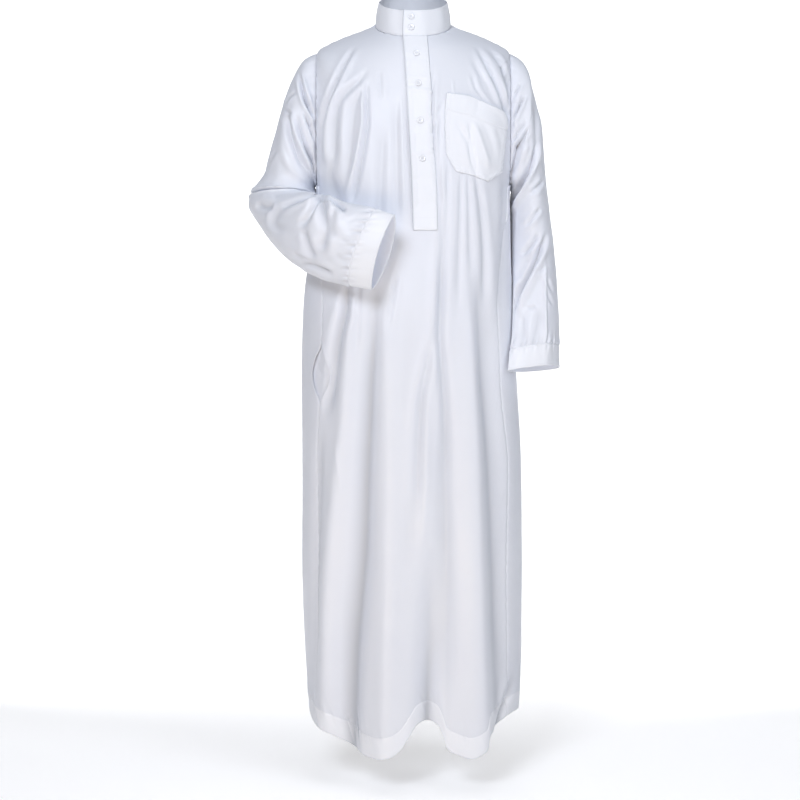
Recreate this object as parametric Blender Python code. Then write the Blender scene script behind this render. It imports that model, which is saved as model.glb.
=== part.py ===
# A white thobe in the form it has when worn: an ankle-length robe with a band collar, a buttoned half
# placket, a chest pocket, a pocket mouth in one side seam and long sleeves. The sleeve at +X hangs and
# the one at -X is bent, with its forearm across the front.
# Metres, +Z up, the front faces -Y. The origin is the middle of the neck opening, level with the inner
# ends of the two shoulder seams that carry the garment.

import math

import bmesh
import bpy
import numpy as np

# Driving sizes.
CLOTH = 0.0012          # wall of a single layer of the poplin
DOUBLED = 0.0020        # wall where the cloth is turned up or interlined
SEAM_GAP = 0.0003       # between two pieces that are sewn together
LAID_ON = 0.0009        # between a panel and what is sewn on it, whose facets differ
ARMHOLE_X = 0.190       # the armhole seams lie in the planes X = +-ARMHOLE_X
HEM_DEPTH = 0.038       # turned-up hem of the skirt
UNDERARM_CLEAR_Z = -0.345
CUFF_DEPTH = 0.042      # band at the end of a sleeve
COLLAR_HEIGHT = 0.046
COLLAR_OVERLAP = 0.034  # the buttoned lap of the collar's ends
COLLAR_LAP_LIFT = 0.0026                # how far the lap lies outside the end below it
PLACKET_WIDTH = 0.046
PLACKET_TOP_Z, PLACKET_END_Z = -0.042, -0.412
NECK_CLEAR = 0.0012     # from the collar's seam down to the placket
BUTTON_RADIUS = 0.0062
BUTTON_THICK = 0.0024
BUTTON_GAP = 0.0004     # between a button and its cloth

# How many rows and columns of points the grids have.
FRONT_COLUMNS, BACK_COLUMNS, SIDE_COLUMNS = 34, 25, 7
PLACKET_ROWS, PLACKET_COLUMNS = 20, 5
COLLAR_COLUMNS, COLLAR_ROWS = 44, 4
SLEEVE_COLUMNS_ROUND, SLEEVE_ROWS, CUFF_ROWS = 24, 23, 4
FACING_COLUMNS = 7
ARMHOLE_POINTS, UNDERARM_POINTS = 60, 7
BUTTON_SIDES = 10

COTTON_WHITE = (0.80, 0.82, 0.86)
STEP = 1e-4             # for slopes taken by small differences, in radians or metres
FOLD_STEPS = 8          # straight steps along a fold's line
BELOW_HEM = -1.40       # a fold whose foot lies lower than this runs off the hem

# Sections of the body, from the neck seam to the hem. Each is a rounded ring: the height of its sides,
# front and back, the half widths at +X and -X, the depths in front and behind, the power of its
# superellipse, how its height bows from side to centre, and the angle of the side panel's seams.
BODY_COLUMNS = ("side_z", "front_z", "back_z", "right", "left", "front", "back", "power", "bow", "seam")
BODY_SECTIONS = {
    "neck seam": (0.000, -0.034, 0.034, 0.0750, 0.0750, 0.078, 0.078, 2.00, 1.0, 0.0),
    "inner shoulder": (-0.014, -0.070, 0.000, 0.1180, 0.1160, 0.098, 0.106, 2.20, 1.2, 0.0),
    "outer shoulder": (-0.033, -0.120, -0.052, 0.1620, 0.1620, 0.112, 0.122, 2.30, 1.4, 0.0),
    "shoulder point": (-0.052, -0.165, -0.100, 0.1900, 0.1900, 0.121, 0.130, 2.35, 1.7, 0.0),
    "sleeve head": (-0.115, -0.215, -0.160, 0.2030, 0.2030, 0.127, 0.134, 2.40, 1.9, 0.0),
    "chest": (-0.195, -0.270, -0.225, 0.2045, 0.2045, 0.132, 0.136, 2.40, 2.0, 2.0),
    "lower armhole": (-0.270, -0.322, -0.288, 0.1985, 0.1985, 0.136, 0.135, 2.40, 2.0, 5.0),
    "underarm": (-0.315, -0.360, -0.330, 0.1921, 0.1921, 0.138, 0.134, 2.40, 2.0, 9.0),
    "waist": (-0.430, -0.455, -0.440, 0.1940, 0.2040, 0.141, 0.134, 2.30, 2.0, 22.0),
    "hip": (-0.560, -0.575, -0.565, 0.1990, 0.2190, 0.146, 0.137, 2.20, 2.0, 28.0),
    "pocket mouth": (-0.700, -0.710, -0.705, 0.2070, 0.2225, 0.150, 0.140, 2.20, 2.0, 28.0),
    "knee": (-0.870, -0.880, -0.875, 0.2165, 0.2215, 0.153, 0.143, 2.20, 2.0, 24.0),
    "calf": (-1.060, -1.068, -1.063, 0.2185, 0.2225, 0.156, 0.146, 2.20, 2.0, 25.0),
    "lower calf": (-1.230, -1.238, -1.232, 0.2180, 0.2170, 0.160, 0.150, 2.20, 2.0, 24.0),
    "hem": (-1.358, -1.372, -1.362, 0.2125, 0.2085, 0.163, 0.153, 2.20, 2.0, 22.0),
}

# Folds. Each is a soft ridge, or a trough where its heights are negative, whose middle runs through
# three points (x, z) of the front view, or of the back view. Its half width and its height go from
# those at its first point to those at its last.
FOLD_COLUMNS = ("x1", "z1", "x2", "z2", "x3", "z3", "wide_top", "wide_foot", "high_top", "high_foot")
FRONT_FOLDS = {
    "left front ridge": (-0.060, -0.48, -0.050, -0.90, -0.078, -1.42, 0.026, 0.040, 0.004, 0.024),
    "left front trough": (-0.070, -0.46, -0.093, -0.85, -0.118, -1.42, 0.014, 0.026, -0.006, -0.016),
    "left side ridge": (-0.135, -0.50, -0.150, -0.85, -0.165, -1.42, 0.020, 0.026, 0.005, 0.010),
    "right front ridge": (0.085, -0.34, 0.103, -0.80, 0.122, -1.42, 0.020, 0.030, 0.004, 0.030),
    "right front trough": (0.135, -0.36, 0.152, -0.80, 0.172, -1.42, 0.016, 0.022, -0.007, -0.024),
    "right side ridge": (0.165, -0.52, 0.176, -0.90, 0.192, -1.42, 0.014, 0.016, 0.002, 0.008),
    "middle trough": (0.034, -0.70, 0.030, -1.05, 0.028, -1.42, 0.026, 0.030, 0.000, -0.034),
    "placket side trough": (0.052, -0.20, 0.054, -0.45, 0.064, -0.82, 0.009, 0.014, -0.005, -0.004),
    "under pocket trough": (0.082, -0.33, 0.088, -0.45, 0.094, -0.62, 0.009, 0.012, -0.005, -0.003),
    "left chest trough": (-0.075, -0.06, -0.152, -0.16, -0.150, -0.33, 0.010, 0.014, -0.006, -0.008),
    "left chest ridge": (-0.085, -0.10, -0.125, -0.20, -0.122, -0.36, 0.012, 0.018, 0.004, 0.006),
    "left armhole trough": (-0.110, -0.04, -0.165, -0.12, -0.176, -0.22, 0.009, 0.010, -0.005, -0.006),
    "left breast trough": (-0.096, -0.18, -0.104, -0.26, -0.116, -0.36, 0.009, 0.012, -0.005, -0.006),
    "right armhole trough": (0.130, -0.06, 0.162, -0.11, 0.178, -0.18, 0.009, 0.010, -0.005, -0.006),
    "right chest trough": (0.110, -0.08, 0.140, -0.12, 0.158, -0.19, 0.009, 0.011, -0.004, -0.006),
}
BACK_FOLDS = {
    "middle ridge": (0.010, -0.30, -0.006, -0.80, 0.014, -1.42, 0.026, 0.038, 0.002, 0.020),
    "left trough": (-0.050, -0.28, -0.060, -0.80, -0.058, -1.42, 0.018, 0.026, -0.004, -0.018),
    "left ridge": (-0.100, -0.26, -0.108, -0.80, -0.118, -1.42, 0.022, 0.030, 0.003, 0.020),
    "left outer trough": (-0.145, -0.24, -0.158, -0.80, -0.166, -1.42, 0.015, 0.020, -0.003, -0.013),
    "right trough": (0.064, -0.26, 0.070, -0.80, 0.078, -1.42, 0.018, 0.026, -0.004, -0.020),
    "right ridge": (0.112, -0.30, 0.124, -0.80, 0.128, -1.42, 0.020, 0.026, 0.003, 0.018),
    "right outer trough": (0.150, -0.24, 0.166, -0.80, 0.172, -1.42, 0.014, 0.018, -0.003, -0.010),
    "left blade trough": (-0.150, -0.10, -0.120, -0.19, -0.108, -0.32, 0.012, 0.016, -0.005, -0.004),
    "right blade trough": (0.150, -0.10, 0.124, -0.20, 0.110, -0.34, 0.012, 0.016, -0.005, -0.004),
}
# How far the front edge of the hem hangs below its section, along X: centre, half width, drop.
HEM_LOBES = {
    "left lobe": (-0.084, 0.052, 0.048),
    "right lobe": (0.106, 0.044, 0.054),
    "arch": (0.020, 0.028, -0.016),
    "left corner": (-0.160, 0.034, 0.016),
}
HEM_LOBE_REACH = 0.22   # the lobes fade out this far above the hem

# Sections of a sleeve, from just outside the armhole to the end of the cuff. Each is a rounded ring
# between an outer and an inner point, with its depths in front and behind, and the powers of its
# superellipse on the outer and the inner side.
SLEEVE_COLUMNS = ("outer_x", "outer_y", "outer_z", "inner_x", "inner_y", "inner_z",
                  "front", "back", "outer_power", "inner_power")
HANGING_SECTIONS = (
    (0.1903, 0.000, -0.052, 0.1924, 0.000, -0.315, 0.066, 0.066, 2.2, 2.2),
    (0.2120, 0.000, -0.066, 0.1945, 0.000, -0.316, 0.070, 0.070, 2.2, 2.2),
    (0.2285, 0.002, -0.108, 0.1955, 0.002, -0.321, 0.072, 0.073, 2.2, 2.1),
    (0.2450, 0.004, -0.165, 0.1960, 0.004, -0.330, 0.071, 0.073, 2.2, 2.0),
    (0.2560, 0.008, -0.235, 0.1965, 0.006, -0.346, 0.068, 0.072, 2.2, 1.9),
    (0.2630, 0.012, -0.300, 0.1975, 0.006, -0.372, 0.065, 0.068, 2.1, 1.8),
    (0.2700, 0.016, -0.362, 0.1985, 0.004, -0.410, 0.062, 0.062, 2.0, 1.7),
    (0.2780, 0.018, -0.430, 0.2000, 0.000, -0.460, 0.058, 0.056, 1.9, 1.7),
    (0.2820, 0.014, -0.490, 0.2015, -0.016, -0.510, 0.055, 0.049, 1.8, 1.6),
    (0.2850, 0.006, -0.550, 0.1995, -0.040, -0.560, 0.051, 0.041, 1.7, 1.5),
    (0.2860, -0.004, -0.605, 0.1940, -0.064, -0.610, 0.048, 0.034, 1.7, 1.5),
    (0.2865, -0.012, -0.650, 0.1875, -0.084, -0.652, 0.044, 0.030, 1.6, 1.5),
    (0.2880, -0.018, -0.678, 0.1840, -0.094, -0.680, 0.042, 0.028, 1.6, 1.5),
)
BENT_SECTIONS = (
    (-0.1903, 0.000, -0.052, -0.1924, 0.000, -0.315, 0.066, 0.066, 2.2, 2.2),
    (-0.2130, 0.000, -0.064, -0.1950, -0.001, -0.317, 0.070, 0.070, 2.2, 2.2),
    (-0.2360, 0.002, -0.100, -0.1980, -0.003, -0.320, 0.072, 0.073, 2.2, 2.1),
    (-0.2580, 0.006, -0.160, -0.1985, -0.007, -0.324, 0.070, 0.073, 2.2, 2.0),
    (-0.2740, 0.010, -0.222, -0.1990, -0.014, -0.328, 0.067, 0.072, 2.2, 1.9),
    (-0.2900, 0.014, -0.285, -0.1990, -0.024, -0.331, 0.063, 0.069, 2.1, 1.9),
    (-0.3170, 0.010, -0.334, -0.2000, -0.044, -0.333, 0.061, 0.060, 2.0, 1.9),
    (-0.3150, 0.000, -0.362, -0.1980, -0.066, -0.335, 0.060, 0.054, 2.0, 1.9),
    (-0.2930, -0.020, -0.398, -0.1970, -0.086, -0.337, 0.058, 0.046, 2.0, 1.9),
    (-0.2650, -0.048, -0.436, -0.1870, -0.110, -0.340, 0.055, 0.039, 2.0, 1.9),
    (-0.2320, -0.084, -0.470, -0.1720, -0.135, -0.345, 0.052, 0.033, 2.0, 1.9),
    (-0.1930, -0.119, -0.496, -0.1540, -0.156, -0.352, 0.047, 0.030, 2.0, 1.9),
    (-0.1530, -0.152, -0.513, -0.1240, -0.180, -0.364, 0.042, 0.030, 2.0, 1.9),
    (-0.1150, -0.180, -0.521, -0.0800, -0.202, -0.374, 0.032, 0.031, 1.8, 1.7),
    (-0.0790, -0.200, -0.528, -0.0370, -0.219, -0.390, 0.024, 0.033, 1.6, 1.6),
)
HANGING_FRONT_FOLDS = {
    "elbow trough": (0.262, -0.406, 0.230, -0.489, 0.195, -0.559, 0.010, 0.013, -0.004, -0.010),
    "elbow ridge below": (0.270, -0.438, 0.242, -0.516, 0.203, -0.590, 0.012, 0.015, 0.003, 0.007),
    "elbow ridge above": (0.258, -0.377, 0.225, -0.450, 0.191, -0.520, 0.013, 0.016, 0.002, 0.004),
    "armpit trough": (0.251, -0.220, 0.223, -0.282, 0.190, -0.346, 0.010, 0.013, -0.003, -0.009),
    "armpit ridge": (0.243, -0.193, 0.215, -0.237, 0.190, -0.282, 0.010, 0.012, 0.002, 0.005),
    "upper trough": (0.224, -0.162, 0.205, -0.181, 0.190, -0.202, 0.008, 0.010, -0.003, -0.007),
    "face crease": (0.262, -0.496, 0.261, -0.583, 0.262, -0.655, 0.010, 0.010, 0.002, 0.004),
}
HANGING_BACK_FOLDS = {
    "armpit trough": (0.246, -0.190, 0.222, -0.262, 0.194, -0.335, 0.012, 0.014, -0.003, -0.008),
    "elbow ridge": (0.264, -0.380, 0.240, -0.420, 0.205, -0.446, 0.014, 0.014, 0.006, 0.003),
    "elbow trough": (0.272, -0.430, 0.244, -0.460, 0.206, -0.470, 0.012, 0.012, -0.006, -0.004),
}
BENT_FRONT_FOLDS = {
    "elbow trough": (-0.330, -0.340, -0.268, -0.342, -0.190, -0.346, 0.008, 0.009, -0.012, -0.013),
    "above the elbow": (-0.300, -0.314, -0.252, -0.312, -0.200, -0.322, 0.013, 0.012, 0.006, 0.007),
    "below the elbow": (-0.312, -0.366, -0.264, -0.366, -0.216, -0.368, 0.013, 0.013, 0.004, 0.006),
    "crook outer trough": (-0.181, -0.335, -0.202, -0.377, -0.222, -0.430, 0.010, 0.012, -0.009, -0.004),
    "crook ridge": (-0.176, -0.344, -0.184, -0.398, -0.188, -0.450, 0.010, 0.014, 0.006, 0.004),
    "crook inner trough": (-0.172, -0.335, -0.162, -0.395, -0.150, -0.456, 0.009, 0.012, -0.008, -0.004),
    "crook hollow": (-0.167, -0.340, -0.151, -0.361, -0.135, -0.382, 0.009, 0.010, -0.007, -0.005),
    "upper drag": (-0.214, -0.108, -0.197, -0.156, -0.180, -0.204, 0.009, 0.011, -0.004, -0.007),
    "lower drag": (-0.220, -0.185, -0.199, -0.253, -0.177, -0.321, 0.010, 0.011, -0.005, -0.007),
    "outer drag": (-0.238, -0.191, -0.221, -0.239, -0.203, -0.285, 0.010, 0.011, -0.003, -0.005),
    "forearm bulge": (-0.285, -0.385, -0.251, -0.432, -0.202, -0.470, 0.018, 0.018, 0.004, 0.005),
}
BENT_BACK_FOLDS = {
    "elbow trough": (-0.318, -0.300, -0.268, -0.318, -0.205, -0.330, 0.012, 0.012, -0.008, -0.007),
    "elbow ridge": (-0.325, -0.345, -0.270, -0.362, -0.215, -0.370, 0.016, 0.016, 0.006, 0.005),
    "blade drag": (-0.240, -0.120, -0.215, -0.210, -0.195, -0.300, 0.013, 0.014, -0.004, -0.007),
}

# Centre line of the placket, from the neck seam to its end: z and x.
PLACKET_LINE = ((-0.034, 0.003), (-0.110, 0.008), (-0.200, 0.0125), (-0.300, 0.018), (-0.412, 0.022))
PLACKET_BUTTON_Z = (-0.072, -0.131, -0.203, -0.276)
COLLAR_BUTTON_HEIGHTS = (0.0345, 0.0150)  # above the neck seam, along the collar
COLLAR_LEAN = 0.009     # how far the collar draws in from its seam to its top
COLLAR_BUTTON_X = -0.004
# Edges of the chest pocket: share along the edge, x, z. Its lower corners are cut off.
POCKET_EDGES = {
    "top": ((0, 0.0641, -0.1502), (0.36, 0.1063, -0.1559), (0.57, 0.1313, -0.1655), (0.78, 0.1570, -0.1751),
            (1, 0.1830, -0.1878)),
    "foot": ((0, 0.0622, -0.2672), (0.20, 0.0804, -0.2998), (0.5, 0.1140, -0.3065), (0.76, 0.1425, -0.3170),
             (1, 0.1710, -0.2959)),
    "inner": ((0, 0.0641, -0.1502), (0.28, 0.0608, -0.1828), (0.6, 0.0603, -0.2211), (1, 0.0622, -0.2672)),
    "outer": ((0, 0.1830, -0.1878), (0.31, 0.1803, -0.2211), (0.6, 0.1760, -0.2518), (1, 0.1710, -0.2959)),
}
SIDE_MOUTH = (-0.634, -0.740)           # ends of the pocket mouth in the seam at -X
SIDE_MOUTH_FRONT, SIDE_MOUTH_BACK = math.radians(1.6), math.radians(4.4)  # how far its lips part
SIDE_SEAM_TURN = math.radians(152.0)    # where that seam lies, as an angle on the body
FACING_REACH = (-0.560, -0.815)
FACING_TURNS = (144.0, 161.0)           # edges of the facing, in degrees
FACING_GAP = 0.0009     # between the facing and the seam's inner side, whose facets differ
FACING_SET_BACK = 1.7   # how many gaps further it keeps from the side panel's longer facets
FACING_HOLLOW = 0.007   # depth of the hollow that the parted lips show


def monotone(knots, values, at):
    """Smooth curve through a table's values that never overshoots them."""
    knots, values, at = (np.asarray(a, float) for a in (knots, values, at))
    gaps, slopes = np.diff(knots), np.diff(values) / np.diff(knots)
    bends = np.zeros(len(knots))
    w1, w2 = 2 * gaps[1:] + gaps[:-1], gaps[1:] + 2 * gaps[:-1]
    same = slopes[:-1] * slopes[1:] > 0
    safe = np.where(same, slopes[:-1] * slopes[1:], 1.0)
    bends[1:-1] = np.where(same, (w1 + w2) * safe / (w1 * slopes[1:] + w2 * slopes[:-1] + 1e-30 * ~same), 0)
    bends[0], bends[-1] = slopes[0], slopes[-1]
    i = np.clip(np.searchsorted(knots, at) - 1, 0, len(gaps) - 1)
    t = (at - knots[i]) / gaps[i]
    return (values[i] * (1 + 2 * t) * (1 - t) ** 2 + values[i + 1] * t * t * (3 - 2 * t)
            + gaps[i] * (bends[i] * t * (1 - t) ** 2 - bends[i + 1] * t * t * (1 - t)))


def ease(value, low, high):
    """0 below low, 1 above high, and smooth between."""
    t = np.clip((value - low) / (high - low), 0, 1)
    return t * t * (3 - 2 * t)


def unit(vectors):
    return vectors / np.maximum(np.linalg.norm(vectors, axis=-1, keepdims=True), 1e-12)


BODY_TABLE = dict(zip(BODY_COLUMNS, np.array(list(BODY_SECTIONS.values())).T))
SECTION_NAMES = list(BODY_SECTIONS)
# A section's station is its distance from the neck seam, down the middle of the front.
STATIONS = np.concatenate([[0], np.cumsum(np.hypot(np.diff(BODY_TABLE["front"]), np.diff(BODY_TABLE["front_z"])))])


def station_of(name):
    return STATIONS[SECTION_NAMES.index(name)]


SHOULDER_POINT, UNDERARM, HEM = (station_of(name) for name in ("shoulder point", "underarm", "hem"))


def body_size(column, station):
    return monotone(STATIONS, BODY_TABLE[column], station)


def plain_ring(angle, station):
    """A point of the body before its folds. The angle runs from +X over the front to -X and the back."""
    angle, station = np.broadcast_arrays(np.asarray(angle, float), np.asarray(station, float))
    cosine, sine = np.cos(angle), np.sin(angle)
    size = {name: body_size(name, station) for name in BODY_COLUMNS}
    wide = np.where(cosine > 0, size["right"], size["left"])
    deep = np.where(sine > 0, size["front"], size["back"])
    power = size["power"]
    reach = (np.abs(cosine / wide) ** power + np.abs(sine / deep) ** power) ** (-1 / power)
    x, y = reach * cosine, -reach * sine
    bowed = np.clip(np.abs(y) / deep, 0, 1) ** size["bow"]
    z = size["side_z"] + (np.where(sine > 0, size["front_z"], size["back_z"]) - size["side_z"]) * bowed
    return np.stack([x, y, z], axis=-1)


def fold_height(folds, x, z):
    """Sum of a table's folds at points of the front or the back view."""
    total = np.zeros_like(x)
    steps = np.linspace(0, 1, FOLD_STEPS + 1)
    for row in folds.values():
        f = dict(zip(FOLD_COLUMNS, row))
        lines = []
        for axis in "xz":
            first, middle, last = (f[axis + key] for key in "123")
            bend = 4 * middle - first - last
            lines.append(first * (1 - steps) ** 2 + bend * steps * (1 - steps) + last * steps ** 2)
        nearest, share = np.full_like(x, 1e9), np.zeros_like(x)
        for k in range(FOLD_STEPS):
            dx, dz = lines[0][k + 1] - lines[0][k], lines[1][k + 1] - lines[1][k]
            t = np.clip(((x - lines[0][k]) * dx + (z - lines[1][k]) * dz) / (dx * dx + dz * dz), 0, 1)
            gap = (x - lines[0][k] - t * dx) ** 2 + (z - lines[1][k] - t * dz) ** 2
            closer = gap < nearest
            nearest = np.where(closer, gap, nearest)
            share = np.where(closer, (k + t) / FOLD_STEPS, share)
        wide = f["wide_top"] + (f["wide_foot"] - f["wide_top"]) * share
        high = f["high_top"] + (f["high_foot"] - f["high_top"]) * share
        ends = ease(share, 0, 0.25) * (1 - ease(share, 0.75, 1) * (f["z3"] > BELOW_HEM))
        total += high * ends * np.exp(-nearest / wide ** 2)
    return total


def relief(points, angle, station):
    """How far the folds stand out from the plain body, fading out at the armholes and the neck."""
    x, z = points[..., 0], points[..., 2]
    side = np.sin(angle)
    folds = np.where(side > 0, fold_height(FRONT_FOLDS, x, z), fold_height(BACK_FOLDS, x, z))
    near_arm = ease(ARMHOLE_X - np.abs(x), 0.002, 0.022)
    beside_arm = ease(station, SHOULDER_POINT - 0.05, SHOULDER_POINT) * (1 - ease(station, UNDERARM, UNDERARM + 0.07))
    off_arm = 1 - beside_arm * (1 - near_arm)
    return folds * ease(np.abs(side), 0.05, 0.35) * off_arm * ease(station, 0.012, 0.05)


def hem_drop(points, angle):
    """How far the lobes of the front hem hang down at these points."""
    x, z = points[..., 0], points[..., 2]
    drop = np.zeros_like(x)
    for middle, wide, deep in HEM_LOBES.values():
        drop += deep * np.exp(-np.abs((x - middle) / wide) ** 3)
    low = ease(-z, -BODY_TABLE["side_z"][-1] - HEM_LOBE_REACH, -BODY_TABLE["side_z"][-1])
    return drop * low * ease(np.sin(angle), 0.15, 0.5)


def normals_of(surface, u, v, outward):
    """Unit normals of surface(u, v), on the side that outward points to."""
    along_u = surface(u + STEP, v) - surface(u - STEP, v)
    along_v = surface(u, v + STEP) - surface(u, v - STEP)
    normal = unit(np.cross(along_u, along_v))
    return normal * np.where((normal * outward).sum(-1, keepdims=True) < 0, -1.0, 1.0)


def around(angle):
    return np.stack([np.cos(angle), -np.sin(angle), np.zeros_like(angle)], axis=-1)


def body(angle, station):
    """A point of the body's outer face, with its folds."""
    angle, station = np.broadcast_arrays(np.asarray(angle, float), np.asarray(station, float))
    station = np.clip(station, STEP, HEM - STEP)
    points = plain_ring(angle, station)
    normal = normals_of(plain_ring, angle, station, around(angle))
    folded = points + normal * relief(points, angle, station)[..., None]
    folded[..., 2] -= hem_drop(folded, angle)
    return folded


def body_normals(angle, station):
    station = np.clip(station, 3 * STEP, HEM - 3 * STEP)
    return normals_of(body, angle, station, around(np.asarray(angle)) + np.array([0, 0, 0.3]))


def armhole_angle(station, side):
    """Angle at which a ring meets the armhole's plane, from the X axis; 0 where it doesn't reach it."""
    half, power = body_size(side, station), body_size("power", station)
    deep = body_size("front", station)
    share = np.clip(1 - (ARMHOLE_X / np.maximum(half, ARMHOLE_X)) ** power, 0, 1)
    return np.arctan2(deep * share ** (1 / power), ARMHOLE_X)


def back_armhole_angle(station, side):
    return np.arctan(np.tan(armhole_angle(station, side)) * body_size("back", station) / body_size("front", station))


def seam_angle(station, side, behind=False):
    """Angle of a side panel's seam, which starts at the foot of the armhole."""
    arm = (back_armhole_angle if behind else armhole_angle)(UNDERARM, side)
    seam = np.radians(body_size("seam", station))
    return seam + (arm - np.radians(body_size("seam", UNDERARM))) * (1 - ease(station, UNDERARM, UNDERARM + 0.1))


def panel_edge(station, side, behind=False):
    """Angle of the edge of the front, or of the back, from the X axis: shoulder, armhole and side seam."""
    arm = (back_armhole_angle if behind else armhole_angle)(station, side)
    gap = 0.5 * SEAM_GAP / body_size(side, station)
    return np.where(station <= UNDERARM, np.maximum(arm, gap), seam_angle(station, side, behind) + gap)


def add_solid(name, vertices, faces, colour=COTTON_WHITE, roughness=0.45):
    mesh = bpy.data.meshes.new(name)
    mesh.from_pydata([tuple(v) for v in vertices], [], faces)
    shape = bmesh.new()
    shape.from_mesh(mesh)
    bmesh.ops.recalc_face_normals(shape, faces=shape.faces)
    shape.to_mesh(mesh)
    shape.free()
    mesh.shade_smooth()
    mesh.set_sharp_from_angle(angle=math.radians(50))
    made = bpy.data.objects.new(name, mesh)
    bpy.context.scene.collection.objects.link(made)
    material = bpy.data.materials.new(name)
    material.use_nodes = True
    shader = material.node_tree.nodes["Principled BSDF"]
    shader.inputs["Base Color"].default_value = (*colour, 1)
    shader.inputs["Roughness"].default_value = roughness
    shader.inputs["Metallic"].default_value = 0.0
    mesh.materials.append(material)
    return made


def wall(name, outer, inner, tube=False):
    """Closed solid between two grids of points. A tube's last column meets its first."""
    rows, columns = outer.shape[:2]
    count = rows * columns
    vertices = np.concatenate([outer.reshape(-1, 3), inner.reshape(-1, 3)])
    faces = []
    across = columns if tube else columns - 1
    for i in range(rows - 1):
        for j in range(across):
            a, b = i * columns + j, i * columns + (j + 1) % columns
            c, d = b + columns, a + columns
            # The shorter diagonal keeps the facets of a narrow fold from cutting its inner side.
            if np.linalg.norm(vertices[a] - vertices[c]) <= np.linalg.norm(vertices[b] - vertices[d]):
                split = ((a, b, c), (a, c, d))
            else:
                split = ((a, b, d), (b, c, d))
            for triangle in split:
                faces.append(triangle)
                faces.append(tuple(k + count for k in reversed(triangle)))
    for i, flip in ((0, False), (rows - 1, True)):
        for j in range(across):
            a, b = i * columns + j, i * columns + (j + 1) % columns
            rim = (b, a, a + count, b + count)
            faces.append(rim[::-1] if flip else rim)
    if not tube:
        for j, flip in ((0, True), (columns - 1, False)):
            for i in range(rows - 1):
                a, b = i * columns + j, (i + 1) * columns + j
                rim = (b, a, a + count, b + count)
                faces.append(rim[::-1] if flip else rim)
    return add_solid(name, vertices, faces)


def spaced(low, high, count, ends=False):
    """Even steps from low to high, or steps that shorten towards both ends."""
    t = np.linspace(0, 1, count)
    return low + (high - low) * (0.5 - 0.5 * np.cos(np.pi * t) if ends else t)


def station_at_seam(z):
    """Station at which the front's left seam has this height."""
    return np.interp(-z, -plain_ring(SIDE_SEAM_TURN, STATIONS)[:, 2], STATIONS)


def body_rows():
    """Stations of a panel's rows from the neck seam to the hem, with some at the pocket's mouth."""
    mouth_top, mouth_foot = (station_at_seam(z) for z in SIDE_MOUTH)
    return np.concatenate([
        spaced(0, SHOULDER_POINT, 5)[:-1],
        spaced(SHOULDER_POINT, UNDERARM, 9, ends=True)[:-1],
        spaced(UNDERARM, mouth_top, 6)[:-1],
        spaced(mouth_top, mouth_foot, 6)[:-1],
        spaced(mouth_foot, HEM, 11),
    ])


def panel(name, stations, low, high, columns):
    """A panel of the body between two edges, given as an angle for each row."""
    share = np.linspace(0, 1, columns)
    angles = low[:, None] + (high - low)[:, None] * share
    rows = np.broadcast_to(stations[:, None], angles.shape)
    outer = body(angles, rows)
    depth = np.where(rows > HEM - HEM_DEPTH, DOUBLED, CLOTH)[..., None]
    return wall(name, outer, outer - body_normals(angles, rows) * depth)


def mouth_part(station):
    """How far the lips of the side pocket have parted, from 0 to 1."""
    top, foot = (station_at_seam(z) for z in SIDE_MOUTH)
    share = np.clip((station - top) / (foot - top), 0, 1)
    return np.sin(np.pi * share)


def build_body():
    stations = body_rows()
    opened = mouth_part(stations)
    panel("front", stations, panel_edge(stations, "right"),
          np.pi - panel_edge(stations, "left") - SIDE_MOUTH_FRONT * opened, FRONT_COLUMNS)
    panel("back", stations, np.pi + panel_edge(stations, "left", behind=True),
          2 * np.pi - panel_edge(stations, "right", behind=True), BACK_COLUMNS)
    lower = stations[stations >= UNDERARM] + SEAM_GAP * (stations[stations >= UNDERARM] == UNDERARM)
    gap = 0.5 * SEAM_GAP / body_size("right", lower)
    panel("side_panel_right", lower, gap - seam_angle(lower, "right", behind=True),
          seam_angle(lower, "right") - gap, SIDE_COLUMNS)
    panel("side_panel_left", lower, np.pi - seam_angle(lower, "left") + gap + SIDE_MOUTH_BACK * mouth_part(lower),
          np.pi + seam_angle(lower, "left", behind=True) - gap, SIDE_COLUMNS)


def front_place(x, z):
    """(angle, station) of the point of the plain front that has this x and z."""
    x, z = np.broadcast_arrays(np.asarray(x, float), np.asarray(z, float))
    low, high = np.zeros_like(x), np.full_like(x, HEM)

    def angle_at(station):
        half = np.where(x > 0, body_size("right", station), body_size("left", station))
        power, deep = body_size("power", station), body_size("front", station)
        y = deep * np.clip(1 - (np.abs(x) / half) ** power, 1e-6, 1) ** (1 / power)
        return np.arctan2(y, x)

    for _ in range(40):
        middle = (low + high) / 2
        above = plain_ring(angle_at(middle), middle)[..., 2] > z
        low, high = np.where(above, middle, low), np.where(above, high, middle)
    return angle_at(low), low


def laid_on_front(name, x, z, thick, lift):
    """A patch over the front at these x and z, lift above its outer face."""
    angle, station = front_place(x, z)
    base, normal = body(angle, station), body_normals(angle, station)
    lower = base + normal * lift[..., None]
    return wall(name, lower + normal * thick[..., None], lower)


def placket_middle(z):
    heights, middles = zip(*PLACKET_LINE[::-1])
    return np.interp(z, heights, middles)


def build_placket():
    z = spaced(PLACKET_TOP_Z, PLACKET_END_Z, PLACKET_ROWS)[:, None] + np.zeros(PLACKET_COLUMNS)
    x = placket_middle(z) + np.linspace(-0.5, 0.5, PLACKET_COLUMNS) * PLACKET_WIDTH
    # The top edge follows the neck seam, which drops a little from the sides to the middle.
    z[0] = neck_height(x[0]) - NECK_CLEAR
    laid_on_front("placket", x, z, np.full_like(x, DOUBLED), np.full_like(x, LAID_ON))


def neck_height(x):
    """Height of the neck seam in front, at this x."""
    half, deep, front_z = BODY_TABLE["right"][0], BODY_TABLE["front"][0], BODY_TABLE["front_z"][0]
    return front_z * np.sqrt(np.clip(1 - (x / half) ** 2, 0, 1))


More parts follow.
